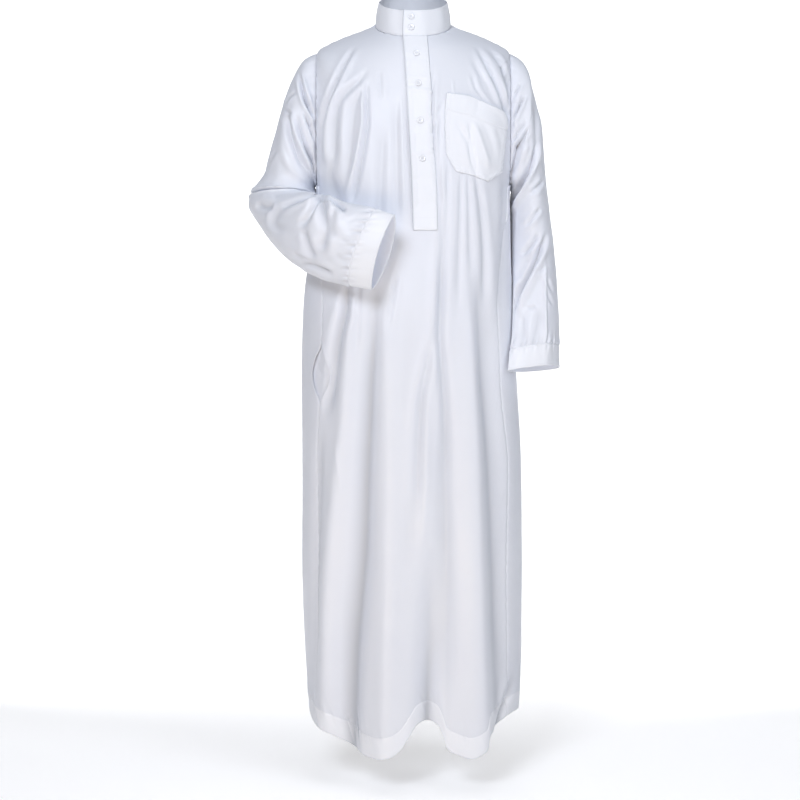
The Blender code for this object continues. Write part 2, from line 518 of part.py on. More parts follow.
def along(points, share):
    """Points at these shares of a table of (share, x, z)."""
    shares, x, z = np.array(points).T
    return np.stack([np.interp(share, shares, x), np.interp(share, shares, z)], axis=-1)


def pocket_patch(u, v):
    """(x, z) of the chest pocket at shares u across and v down, filled in between its four edges."""
    top, foot, inner, outer = (along(POCKET_EDGES[name], share) for name, share in
                               (("top", u), ("foot", u), ("inner", v), ("outer", v)))
    corners = [np.array(POCKET_EDGES[name][k][1:]) for name, k in (("top", 0), ("top", -1), ("foot", 0), ("foot", -1))]
    u, v = u[..., None], v[..., None]
    flat = ((1 - u) * (1 - v) * corners[0] + u * (1 - v) * corners[1] + (1 - u) * v * corners[2] + u * v * corners[3])
    return (1 - v) * top + v * foot + (1 - u) * inner + u * outer - flat


def build_chest_pocket():
    across = np.array([0, 0.10, 0.20, 0.30, 0.40, 0.50, 0.60, 0.68, 0.76, 0.88, 1])
    down = np.concatenate([[0, 0.14, 0.27, 0.29], np.linspace(0.41, 1, 6)])
    u, v = np.meshgrid(across, down)
    place = pocket_patch(u, v)
    # Its mouth stands a little off the chest, and it lies on the front along its sewn edges.
    free = np.clip(4 * u * (1 - u), 0, 1) * (1 - v) ** 1.5
    lift = LAID_ON + 0.004 * free
    thick = np.where(v < 0.28, DOUBLED, CLOTH)
    laid_on_front("chest_pocket", place[..., 0], place[..., 1], thick, lift)


def build_side_facing():
    """The pocket's inner cloth, which shows between the parted lips of the side seam."""
    rows = body_rows()
    rows = rows[(rows > station_at_seam(FACING_REACH[0])) & (rows < station_at_seam(FACING_REACH[1]))]
    angle, station = np.meshgrid(np.radians(np.linspace(*FACING_TURNS, FACING_COLUMNS)), rows)
    normal = body_normals(angle, station)
    hollow = mouth_part(station) * np.sin((angle - angle[0, 0]) / np.ptp(angle) * np.pi) ** 2
    set_back = FACING_SET_BACK * ease(angle, SIDE_SEAM_TURN - np.radians(2), SIDE_SEAM_TURN + np.radians(2))
    depth = CLOTH + FACING_GAP * (1 + set_back) + FACING_HOLLOW * hollow
    outer = body(angle, station) - normal * depth[..., None]
    wall("side_pocket_facing", outer, outer - normal * CLOTH)


def collar_ring(turn, height):
    """A point of the collar's outer face: turn is the angle, as on the body, height is along the band."""
    lean = COLLAR_LEAN * height / COLLAR_HEIGHT
    x = (BODY_TABLE["right"][0] - lean * 0.8) * np.cos(turn)
    y = -(BODY_TABLE["front"][0] - lean) * np.sin(turn)
    tilt = BODY_TABLE["back_z"][0] / BODY_TABLE["back"][0]
    return np.stack([x, y, y * tilt + 0.0005 + height], axis=-1)


def lap_lift(turn, start):
    """How far the buttoned end of the collar lies outside the end below it."""
    radius = BODY_TABLE["front"][0]
    from_end = (start - turn) * radius
    return COLLAR_LAP_LIFT * (1 - ease(from_end, COLLAR_OVERLAP + 0.002, COLLAR_OVERLAP + 0.030))


def collar_start():
    edge = placket_middle(-0.034) - PLACKET_WIDTH / 2
    return math.acos(edge / BODY_TABLE["right"][0])


def build_collar():
    start = collar_start()
    lap = COLLAR_OVERLAP / BODY_TABLE["front"][0]
    turns = np.linspace(start, start - 2 * np.pi - lap, COLLAR_COLUMNS)
    turn, height = np.meshgrid(turns, spaced(0, COLLAR_HEIGHT, COLLAR_ROWS))
    outward = unit(np.stack([np.cos(turn), -np.sin(turn), 0.16 + 0 * turn], axis=-1))
    outer = collar_ring(turn, height) + outward * lap_lift(turn, start)[..., None]
    wall("collar", outer, outer - outward * DOUBLED * 0.9)


def armhole_curve(side, turns):
    """Points of the armhole seam at these turns: 0 at the shoulder, a quarter in front, a half below."""
    stations = spaced(SHOULDER_POINT, UNDERARM, ARMHOLE_POINTS, ends=True)
    front, back = armhole_angle(stations, side), back_armhole_angle(stations, side)
    low = np.linspace(front[-1], -back[-1], UNDERARM_POINTS + 2)[1:-1]
    if side == "left":
        edges = [body(np.pi - front, stations), body(np.pi - low, np.full(UNDERARM_POINTS, UNDERARM)),
                 body(np.pi + back, stations)[::-1]]
    else:
        edges = [body(front, stations), body(low, np.full(UNDERARM_POINTS, UNDERARM)), body(-back, stations)[::-1]]
    line = np.concatenate(edges)
    middle = (line[:, 2].max() + line[:, 2].min()) / 2
    high, deep = (line[:, 2].max() - line[:, 2].min()) / 2, np.abs(line[:, 1]).max()
    turn = np.unwrap(np.arctan2(-line[:, 1] / deep, (line[:, 2] - middle) / high))
    turn -= turn[0]
    order = np.argsort(turn)
    return np.stack([np.interp(turns, turn[order], line[order, k]) for k in range(3)], axis=-1)


def rounded(value, power):
    return np.sign(value) * np.abs(value) ** (2 / power)


class Sleeve:
    """A sleeve's outer face over (turn, section)."""

    def __init__(self, side, sections, folds):
        self.side, self.folds = side, folds
        self.table = dict(zip(SLEEVE_COLUMNS, np.array(sections).T))
        self.knots = np.arange(len(sections), dtype=float)
        self.out = 1.0 if side == "right" else -1.0

    def size(self, column, t):
        return monotone(self.knots, self.table[column], t)

    def rail(self, which, t):
        return np.stack([self.size(f"{which}_{axis}", t) for axis in "xyz"], axis=-1)

    def ring(self, turn, t):
        outer, inner = self.rail("outer", t), self.rail("inner", t)
        ahead = (self.rail("outer", t + 0.05) + self.rail("inner", t + 0.05)
                 - self.rail("outer", t - 0.05) - self.rail("inner", t - 0.05))
        across = outer - inner
        forward = unit(np.cross(across, ahead)) * -self.out
        cosine, sine = np.cos(turn), np.sin(turn)
        power = np.where(cosine > 0, self.size("outer_power", t), self.size("inner_power", t))
        deep = np.where(sine > 0, self.size("front", t), self.size("back", t))
        return ((outer + inner) / 2 + across * (rounded(cosine, power) / 2)[..., None]
                + forward * (rounded(sine, power) * deep)[..., None])

    def plain(self, turn, t):
        turn, t = np.broadcast_arrays(np.asarray(turn, float), np.asarray(t, float))
        start = np.zeros_like(t)
        seam = armhole_curve(self.side, np.mod(turn, 2 * np.pi))
        seam = seam + np.array([self.out * SEAM_GAP, 0, 0])
        return self.ring(turn, t) + (seam - self.ring(turn, start)) * (1 - ease(t, 0.0, 1.6))[..., None]

    def relief(self, points, turn, t):
        """How far the folds stand out, fading out at the armhole and at the cuff."""
        facing, (front, back) = np.sin(turn), self.folds
        x, z = points[..., 0], points[..., 2]
        total = (fold_height(front, x, z) * ease(facing, -0.15, 0.25)
                 + fold_height(back, x, z) * ease(-facing, 0.05, 0.45))
        last = self.knots[-1]
        return total * ease(t, 0.15, 1.3) * (1 - ease(t, last - 2.0, last - 1.0))

    def face(self, turn, t):
        turn, t = np.broadcast_arrays(np.asarray(turn, float), np.asarray(t, float))
        points = self.plain(turn, t)
        normal = self.normal_of(self.plain, turn, t)
        folded = points + normal * self.relief(points, turn, t)[..., None]
        # Above the underarm the sleeve stays outside the armhole's plane.
        least = np.where(folded[..., 2] > UNDERARM_CLEAR_Z, ARMHOLE_X + SEAM_GAP, 0)
        folded[..., 0] = self.out * np.maximum(self.out * folded[..., 0], least)
        return folded

    def normal_of(self, surface, turn, t):
        t = np.clip(t, 0.003, self.knots[-1] - 0.003)
        small = 1e-3
        along = surface(turn, t + small) - surface(turn, t - small)
        across = surface(turn + small, t) - surface(turn - small, t)
        normal = unit(np.cross(across, along)) * self.out
        return normal

    def walls(self, t, columns, thick):
        turn, rows = np.meshgrid(np.arange(columns) * 2 * np.pi / columns, t)
        outer, normal = self.face(turn, rows), self.normal_of(self.face, turn, rows)
        # At the armhole the wall's thickness lies in the seam's plane, clear of the body.
        flat = normal * np.array([0, 1, 1])
        share = (1 - ease(rows, 0.0, 0.9))[..., None]
        normal = unit(normal * (1 - share) + unit(flat) * share)
        return outer, outer - normal * thick


def build_sleeve(name, side, sections, folds):
    sleeve = Sleeve(side, sections, folds)
    last = sleeve.knots[-1]
    seam = cuff_section(sleeve)
    # A section is about 40 mm long here.
    rows = np.concatenate([[0, 0.35], spaced(0.8, seam - SEAM_GAP / 0.04, SLEEVE_ROWS)])
    wall("sleeve_" + name, *sleeve.walls(rows, SLEEVE_COLUMNS_ROUND, CLOTH), tube=True)
    wall("cuff_" + name, *sleeve.walls(spaced(seam, last, CUFF_ROWS), SLEEVE_COLUMNS_ROUND, DOUBLED), tube=True)


def cuff_section(sleeve):
    """The section at which the cuff starts, CUFF_DEPTH before the sleeve's end."""
    t = np.linspace(sleeve.knots[-1] - 2, sleeve.knots[-1], 200)
    middle = (sleeve.rail("outer", t) + sleeve.rail("inner", t)) / 2
    left = np.cumsum(np.linalg.norm(np.diff(middle[::-1], axis=0), axis=1))
    return t[::-1][1:][np.searchsorted(left, CUFF_DEPTH)]


def add_button(name, place, normal):
    """A turned button with a raised rim, standing on the cloth at place."""
    radius, thick = BUTTON_RADIUS, BUTTON_THICK
    profile = ((0.60, 0.0), (1.0, 0.40), (0.93, 1.0), (0.78, 1.0), (0.62, 0.70))
    sides = BUTTON_SIDES
    turn = np.arange(sides) * 2 * np.pi / sides
    side = unit(np.cross(normal, [0.0, 0.0, 1.0]))
    up = unit(np.cross(side, normal))
    vertices, faces = [], []
    for share, level in profile:
        spoke = np.cos(turn)[:, None] * side + np.sin(turn)[:, None] * up
        vertices.extend(place + spoke * radius * share + normal * thick * level)
    for ring in range(len(profile) - 1):
        for k in range(sides):
            a, b = ring * sides + k, ring * sides + (k + 1) % sides
            faces.append((a, b, b + sides, a + sides))
    faces.append(tuple(range(sides))[::-1])
    faces.append(tuple((len(profile) - 1) * sides + k for k in range(sides)))
    add_solid(name, vertices, faces, roughness=0.25)


def build_buttons():
    start = collar_start()
    for k, height in enumerate(COLLAR_BUTTON_HEIGHTS):
        turn = math.acos(COLLAR_BUTTON_X / BODY_TABLE["right"][0])
        outward = unit(np.array([math.cos(turn), -math.sin(turn), 0.16]))
        lift = lap_lift(np.array(turn), start) + BUTTON_GAP
        add_button(f"collar_button_{k + 1}", collar_ring(np.array(turn), height) + outward * lift, outward)
    for k, z in enumerate(PLACKET_BUTTON_Z):
        angle, station = front_place(placket_middle(z), z)
        normal = body_normals(angle, station)
        place = body(angle, station) + normal * (LAID_ON + DOUBLED + BUTTON_GAP)
        add_button(f"placket_button_{k + 1}", place, normal)


def main():
    for old in list(bpy.data.objects):
        bpy.data.objects.remove(old, do_unlink=True)
    build_body()
    build_placket()
    build_chest_pocket()
    build_side_facing()
    build_collar()
    build_sleeve("hanging", "right", HANGING_SECTIONS, (HANGING_FRONT_FOLDS, HANGING_BACK_FOLDS))
    build_sleeve("bent", "left", BENT_SECTIONS, (BENT_FRONT_FOLDS, BENT_BACK_FOLDS))
    build_buttons()


main()
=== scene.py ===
import math

import bpy
import numpy as np
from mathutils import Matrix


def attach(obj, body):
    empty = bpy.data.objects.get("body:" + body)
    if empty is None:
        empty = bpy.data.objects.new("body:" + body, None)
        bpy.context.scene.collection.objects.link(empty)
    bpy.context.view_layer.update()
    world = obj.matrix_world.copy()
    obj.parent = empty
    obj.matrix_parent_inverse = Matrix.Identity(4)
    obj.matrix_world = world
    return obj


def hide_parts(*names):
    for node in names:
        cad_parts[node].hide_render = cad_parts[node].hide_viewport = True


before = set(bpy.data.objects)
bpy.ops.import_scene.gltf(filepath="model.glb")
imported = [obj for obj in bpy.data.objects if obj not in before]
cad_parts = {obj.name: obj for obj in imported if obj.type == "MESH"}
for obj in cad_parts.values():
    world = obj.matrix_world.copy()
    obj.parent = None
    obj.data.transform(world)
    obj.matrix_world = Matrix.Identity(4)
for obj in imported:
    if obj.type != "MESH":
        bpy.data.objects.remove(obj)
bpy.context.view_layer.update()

# The robe's origin is the middle of the neck opening. Metres, the front faces -Y.
garment = {
    "armholeX": 0.190,      # the armhole seams lie in the planes x = +-armholeX
    "armholeFoot": -0.345,
    "cloth": 0.0012,
    "doubled": 0.0020,      # turned-up or interlined cloth
    "seamGap": 0.0003,
    "laidOn": 0.0009,       # from a panel to what is sewn on it
    "tuck": 0.0012,         # how far a sleeve's head reaches in under the body's edge
    "hemDepth": 0.038,
    "cuffDepth": 0.042,
    "cuffStitchIn": 0.0040,
    "leastLift": 0.0004,    # a patch never comes closer to the cloth that it is sewn on
}
smallStep = 1e-4            # for slopes, in radians or metres


def monotone(knots, values, at):
    # a smooth curve through the values that never overshoots them
    knots, values, at = (np.asarray(a, float) for a in (knots, values, at))
    gaps, slopes = np.diff(knots), np.diff(values) / np.diff(knots)
    bends = np.zeros(len(knots))
    w1, w2 = 2 * gaps[1:] + gaps[:-1], gaps[1:] + 2 * gaps[:-1]
    same = slopes[:-1] * slopes[1:] > 0
    bottom = np.where(same, w1 * slopes[1:] + w2 * slopes[:-1], 1.0)
    bends[1:-1] = np.where(same, (w1 + w2) * slopes[:-1] * slopes[1:] / bottom, 0)
    bends[0], bends[-1] = slopes[0], slopes[-1]
    i = np.clip(np.searchsorted(knots, at) - 1, 0, len(gaps) - 1)
    t = (at - knots[i]) / gaps[i]
    return (values[i] * (1 + 2 * t) * (1 - t) ** 2 + values[i + 1] * t * t * (3 - 2 * t)
            + gaps[i] * (bends[i] * t * (1 - t) ** 2 - bends[i + 1] * t * t * (1 - t)))


def ease(value, low, high):
    t = np.clip((value - low) / (high - low), 0, 1)
    return t * t * (3 - 2 * t)


def unit(vectors):
    return vectors / np.maximum(np.linalg.norm(vectors, axis=-1, keepdims=True), 1e-12)


def wobble(s, wavelength, seed):
    # an uneven ripple along a seam, from -1 to 1
    phase = 2 * np.pi * s / wavelength
    return (0.55 * np.sin(phase + seed) + 0.30 * np.sin(1.63 * phase + 2.1 * seed + 1.0)
            + 0.25 * np.sin(0.61 * phase + 3.7 * seed + 0.4))


# Folds: the line that each one follows, as (x, z) in the front or back view, its half width and height at the
# start and at the end, and the lips that rise beside a trough, as shares of its depth. They are on the side
# that lies left and then right of the line, looking along it from above, so -x and +x for a line that runs
# down. The last column narrows the +x side.
foldColumns = ("line", "wide", "high", "lips", "skew")
foldDefaults = {"lips": (0.0, 0.0), "skew": 1.0}
belowHem = -1.40            # a fold that ends lower than this runs off the hem


def smoothLine(points, steps=5):
    # a curve through the points, as short straight steps
    points = np.array(points, float)
    padded = np.concatenate([2 * points[:1] - points[1:2], points, 2 * points[-1:] - points[-2:-1]])
    t = np.linspace(0, 1, steps, endpoint=False)[:, None]
    parts = [b + 0.5 * t * (c - a) + t * t * (a - 2.5 * b + 2 * c - 0.5 * d)
             + t ** 3 * (1.5 * (b - c) + 0.5 * (d - a))
             for a, b, c, d in zip(padded, padded[1:], padded[2:], padded[3:])]
    return np.concatenate(parts + [points[-1:]])


def foldHeight(folds, x, z):
    total = np.zeros_like(x)
    for row in folds.values():
        f = {**foldDefaults, **dict(zip(foldColumns, row))}
        line = smoothLine(f["line"])
        gone = np.concatenate([[0], np.cumsum(np.linalg.norm(np.diff(line, axis=0), axis=1))])
        reach = 4.2 * max(f["wide"])
        near = ((x > line[:, 0].min() - reach) & (x < line[:, 0].max() + reach)
                & (z > line[:, 1].min() - reach) & (z < line[:, 1].max() + reach))
        px, pz = x[near], z[near]
        nearest, along, side = np.full_like(px, 1e9), np.zeros_like(px), np.zeros_like(px)
        for k in range(len(line) - 1):
            dx, dz = line[k + 1] - line[k]
            ax, az = px - line[k, 0], pz - line[k, 1]
            t = np.clip((ax * dx + az * dz) / (dx * dx + dz * dz), 0, 1)
            gap = (ax - t * dx) ** 2 + (az - t * dz) ** 2
            closer = gap < nearest
            nearest = np.where(closer, gap, nearest)
            along = np.where(closer, gone[k] + t * (gone[k + 1] - gone[k]), along)
            side = np.where(closer, az * dx - ax * dz, side)
        share = along / gone[-1]
        wide = f["wide"][0] + (f["wide"][1] - f["wide"][0]) * share
        wide = np.where(side > 0, wide * f["skew"], wide)
        away = np.sqrt(nearest) / wide * np.sign(side)
        shape = np.exp(-away ** 2)
        for lip, at in zip(f["lips"], (-2.1, 2.1)):
            shape -= lip * np.exp(-((away - at) / 1.3) ** 2)
        high = f["high"][0] + (f["high"][1] - f["high"][0]) * share
        ends = ease(share, 0, 0.25) * (1 - ease(share, 0.75, 1) * (line[-1, 1] > belowHem))
        total[near] += high * ends * shape
    return total


# Body: rounded rings from the neck seam to the hem, in the same sizes as the model's solids.
bodyColumns = ("sideZ", "frontZ", "backZ", "right", "left", "front", "back", "power", "bow", "seam")
bodySections = {
    "neck seam": (0.000, -0.034, 0.034, 0.0750, 0.0750, 0.078, 0.078, 2.00, 1.0, 0.0),
    "inner shoulder": (-0.014, -0.070, 0.000, 0.1180, 0.1160, 0.098, 0.106, 2.20, 1.2, 0.0),
    "outer shoulder": (-0.033, -0.120, -0.052, 0.1620, 0.1620, 0.112, 0.122, 2.30, 1.4, 0.0),
    "shoulder point": (-0.052, -0.165, -0.100, 0.1900, 0.1900, 0.121, 0.130, 2.35, 1.7, 0.0),
    "sleeve head": (-0.115, -0.215, -0.160, 0.2030, 0.2030, 0.127, 0.134, 2.40, 1.9, 0.0),
    "chest": (-0.195, -0.270, -0.225, 0.2045, 0.2045, 0.132, 0.136, 2.40, 2.0, 2.0),
    "lower armhole": (-0.270, -0.322, -0.288, 0.1985, 0.1985, 0.136, 0.135, 2.40, 2.0, 5.0),
    "underarm": (-0.315, -0.360, -0.330, 0.1921, 0.1921, 0.138, 0.134, 2.40, 2.0, 9.0),
    "waist": (-0.430, -0.455, -0.440, 0.1940, 0.2040, 0.141, 0.134, 2.30, 2.0, 22.0),
    "hip": (-0.560, -0.575, -0.565, 0.1990, 0.2190, 0.146, 0.137, 2.20, 2.0, 28.0),
    "pocket mouth": (-0.700, -0.710, -0.705, 0.2070, 0.2225, 0.150, 0.140, 2.20, 2.0, 28.0),
    "knee": (-0.870, -0.880, -0.875, 0.2165, 0.2215, 0.153, 0.143, 2.20, 2.0, 24.0),
    "calf": (-1.060, -1.068, -1.063, 0.2185, 0.2225, 0.156, 0.146, 2.20, 2.0, 25.0),
    "lower calf": (-1.230, -1.238, -1.232, 0.2180, 0.2170, 0.160, 0.150, 2.20, 2.0, 24.0),
    "hem": (-1.358, -1.372, -1.362, 0.2125, 0.2085, 0.163, 0.153, 2.20, 2.0, 22.0),
}
bodyTable = dict(zip(bodyColumns, np.array(list(bodySections.values())).T))
sectionSteps = np.hypot(np.diff(bodyTable["front"]), np.diff(bodyTable["frontZ"]))
stations = np.concatenate([[0], np.cumsum(sectionSteps)])     # distance down the front from the neck seam
shoulderPoint, underarm, hem = (stations[list(bodySections).index(n)] for n in
                                ("shoulder point", "underarm", "hem"))

frontFolds = {
    # skirt
    "left front ridge": (((-0.050, -0.46), (-0.047, -0.90), (-0.056, -1.43)), (0.018, 0.026), (0.003, 0.016),
            (0, 0), 1.3),
    "left outer ridge": (((-0.118, -0.60), (-0.130, -0.74), (-0.142, -0.83), (-0.152, -0.93), (-0.161, -1.02),
            (-0.168, -1.13), (-0.173, -1.42)), (0.014, 0.020), (0.005, 0.015)),
    "left trough": (((-0.074, -0.46), (-0.0765, -0.60), (-0.082, -0.70), (-0.087, -0.80), (-0.092, -0.89),
            (-0.098, -1.02), (-0.108, -1.12), (-0.122, -1.24), (-0.135, -1.42)), (0.016, 0.040),
            (-0.012, -0.034), (0, 0), 0.6),
    "left thigh trough": (((-0.128, -0.50), (-0.1327, -0.565), (-0.144, -0.61), (-0.1556, -0.69),
            (-0.170, -0.79)), (0.008, 0.013), (-0.015, -0.010), (0.2, 0.4)),
    "left hip nick": (((-0.104, -0.48), (-0.107, -0.57), (-0.114, -0.66)), (0.005, 0.007), (-0.003, -0.003),
            (0.2, 0.5)),
    "left seam trough": (((-0.178, -0.76), (-0.186, -0.90), (-0.190, -1.10), (-0.196, -1.34)), (0.010, 0.013),
            (-0.008, -0.006)),
    "middle nick": (((-0.030, -0.49), (-0.040, -0.545), (-0.051, -0.61)), (0.004, 0.005), (-0.0035, -0.002),
            (0.4, 0.4)),
    "middle small ridge": (((0.022, -0.62), (0.023, -0.82), (0.015, -1.10)), (0.008, 0.012), (0.004, 0.003)),
    "middle trough": (((0.042, -0.59), (0.028, -0.66), (0.015, -0.735), (0.009, -0.83), (0.008, -0.98)),
            (0.006, 0.010), (-0.007, -0.004), (0.3, 0.4)),
    "placket foot trough": (((0.052, -0.42), (0.052, -0.55), (0.050, -0.62), (0.057, -0.70), (0.063, -0.82),
            (0.064, -0.90)), (0.006, 0.010), (-0.011, -0.005), (0.4, 0.2)),
    "middle broad trough": (((0.056, -0.72), (0.060, -0.84), (0.063, -0.98), (0.064, -1.14), (0.058, -1.34)),
            (0.018, 0.032), (-0.008, -0.014), (0, 0), 0.5),
    "hem valley": (((0.032, -0.95), (0.029, -1.20), (0.027, -1.45)), (0.022, 0.024), (0.000, -0.038)),
    "right front ridge": (((0.094, -0.44), (0.108, -0.66), (0.116, -0.90), (0.128, -1.44)), (0.026, 0.042),
            (0.006, 0.026), (0, 0), 0.62),
    "right trough": (((0.124, -0.42), (0.131, -0.60), (0.136, -0.70), (0.146, -0.80), (0.156, -0.95),
            (0.164, -1.15), (0.178, -1.42)), (0.012, 0.019), (-0.011, -0.012), (0, 0), 2.2),
    "right hem crease": (((0.150, -1.372), (0.180, -1.345), (0.212, -1.28)), (0.006, 0.008), (-0.007, -0.007),
            (0.2, 0.6)),
    "low left crease": (((-0.150, -0.82), (-0.142, -0.87), (-0.136, -0.93)), (0.004, 0.004), (0.002, 0.001)),
    "knee crease": (((0.010, -1.00), (0.030, -1.03), (0.052, -1.03)), (0.012, 0.014), (-0.002, -0.001)),
    # under the pocket and beside the placket
    "pocket trough 1": (((0.066, -0.26), (0.0645, -0.35), (0.060, -0.45), (0.056, -0.58)), (0.004, 0.006),
            (-0.003, -0.003), (0.4, 0.4)),
    "pocket trough 2": (((0.091, -0.27), (0.090, -0.38), (0.087, -0.47), (0.085, -0.60)), (0.004, 0.007),
            (-0.0035, -0.002), (0.4, 0.4)),
    "pocket trough 3": (((0.103, -0.28), (0.106, -0.37), (0.110, -0.50)), (0.004, 0.006), (-0.0025, -0.002),
            (0.3, 0.3)),
    "pocket trough 4": (((0.112, -0.27), (0.127, -0.35), (0.136, -0.44), (0.139, -0.56)), (0.005, 0.007),
            (-0.003, -0.005), (0.3, 0.5)),
    "side trough": (((0.176, -0.27), (0.177, -0.37), (0.173, -0.48), (0.166, -0.62)), (0.006, 0.009),
            (-0.0025, -0.003), (0.5, 0.2)),
    "placket side trough": (((0.041, -0.09), (0.035, -0.15), (0.035, -0.21), (0.040, -0.28), (0.048, -0.38)),
            (0.004, 0.005), (-0.0035, -0.0045), (0, 0.5)),
    "second side trough": (((0.058, -0.15), (0.051, -0.20), (0.049, -0.27), (0.052, -0.36), (0.056, -0.50)),
            (0.0035, 0.006), (-0.0025, -0.003), (0.4, 0.4)),
    "placket slant": (((0.056, -0.165), (0.045, -0.195), (0.034, -0.235)), (0.004, 0.004), (-0.002, -0.002),
            (0.3, 0.3)),
    # chest, at -X
    "armhole drag": (((-0.112, -0.045), (-0.126, -0.072), (-0.146, -0.115), (-0.161, -0.150),
            (-0.171, -0.180), (-0.180, -0.235)), (0.004, 0.005), (-0.006, -0.008), (0.4, 0.6)),
    "shoulder drag": (((-0.082, -0.095), (-0.102, -0.120), (-0.124, -0.141), (-0.143, -0.163),
            (-0.150, -0.195), (-0.152, -0.240), (-0.154, -0.310)), (0.005, 0.008), (-0.005, -0.006),
            (0.5, 0.5)),
    "breast crease": (((-0.089, -0.115), (-0.090, -0.165), (-0.089, -0.206), (-0.095, -0.249),
            (-0.105, -0.300), (-0.122, -0.375)), (0.0035, 0.006), (-0.006, -0.008), (0.7, 0.1)),
    "breast hollow": (((-0.108, -0.140), (-0.116, -0.190), (-0.121, -0.240), (-0.128, -0.320)),
            (0.007, 0.009), (-0.003, -0.004), (0.2, 0.2)),
    "breast nick": (((-0.099, -0.140), (-0.106, -0.157), (-0.114, -0.175)), (0.0035, 0.004),
            (-0.002, -0.0015), (0.4, 0.4)),
    "armhole ridge": (((-0.176, -0.150), (-0.170, -0.220), (-0.166, -0.330)), (0.005, 0.007),
            (0.0025, 0.004)),
    "low armhole trough": (((-0.178, -0.250), (-0.164, -0.300), (-0.146, -0.350), (-0.128, -0.400)),
            (0.008, 0.010), (-0.003, -0.005), (0.2, 0.4)),
    "short nick": (((-0.066, -0.100), (-0.064, -0.130), (-0.062, -0.165)), (0.004, 0.004), (-0.0015, -0.001),
            (0.5, 0.5)),
    "middle breast trough": (((-0.058, -0.200), (-0.064, -0.34), (-0.068, -0.46)), (0.009, 0.010),
            (-0.003, -0.004), (0.3, 0.3)),
    "placket lap ridge": (((-0.024, -0.130), (-0.020, -0.27), (-0.016, -0.41)), (0.006, 0.008),
            (0.0025, 0.004)),
    "placket lap trough": (((-0.034, -0.160), (-0.034, -0.28), (-0.030, -0.42)), (0.006, 0.008),
            (-0.002, -0.003)),
    # chest, at +X
    "pocket drag": (((0.121, -0.045), (0.134, -0.072), (0.148, -0.102), (0.163, -0.134), (0.180, -0.178),
            (0.192, -0.215)), (0.004, 0.005), (-0.005, -0.008), (0.5, 0.6)),
    "second pocket drag": (((0.112, -0.075), (0.123, -0.098), (0.140, -0.128), (0.161, -0.163),
            (0.182, -0.195)), (0.004, 0.005), (-0.003, -0.004), (0.4, 0.3)),
    "shoulder trough": (((0.146, -0.050), (0.158, -0.066), (0.171, -0.087), (0.182, -0.121), (0.190, -0.170)),
            (0.004, 0.004), (-0.005, -0.008), (0.3, 0.7)),
    "short drag": (((0.113, -0.110), (0.120, -0.138), (0.138, -0.163)), (0.003, 0.003), (-0.003, -0.002),
            (0.6, 0.3)),
    "second short drag": (((0.124, -0.112), (0.136, -0.138), (0.160, -0.173)), (0.0035, 0.0035),
            (-0.0025, -0.002), (0.4, 0.4)),
    "press crease": (((0.0760, -0.120), (0.0765, -0.140), (0.0770, -0.160)), (0.002, 0.002),
            (0.0016, 0.0016)),
}
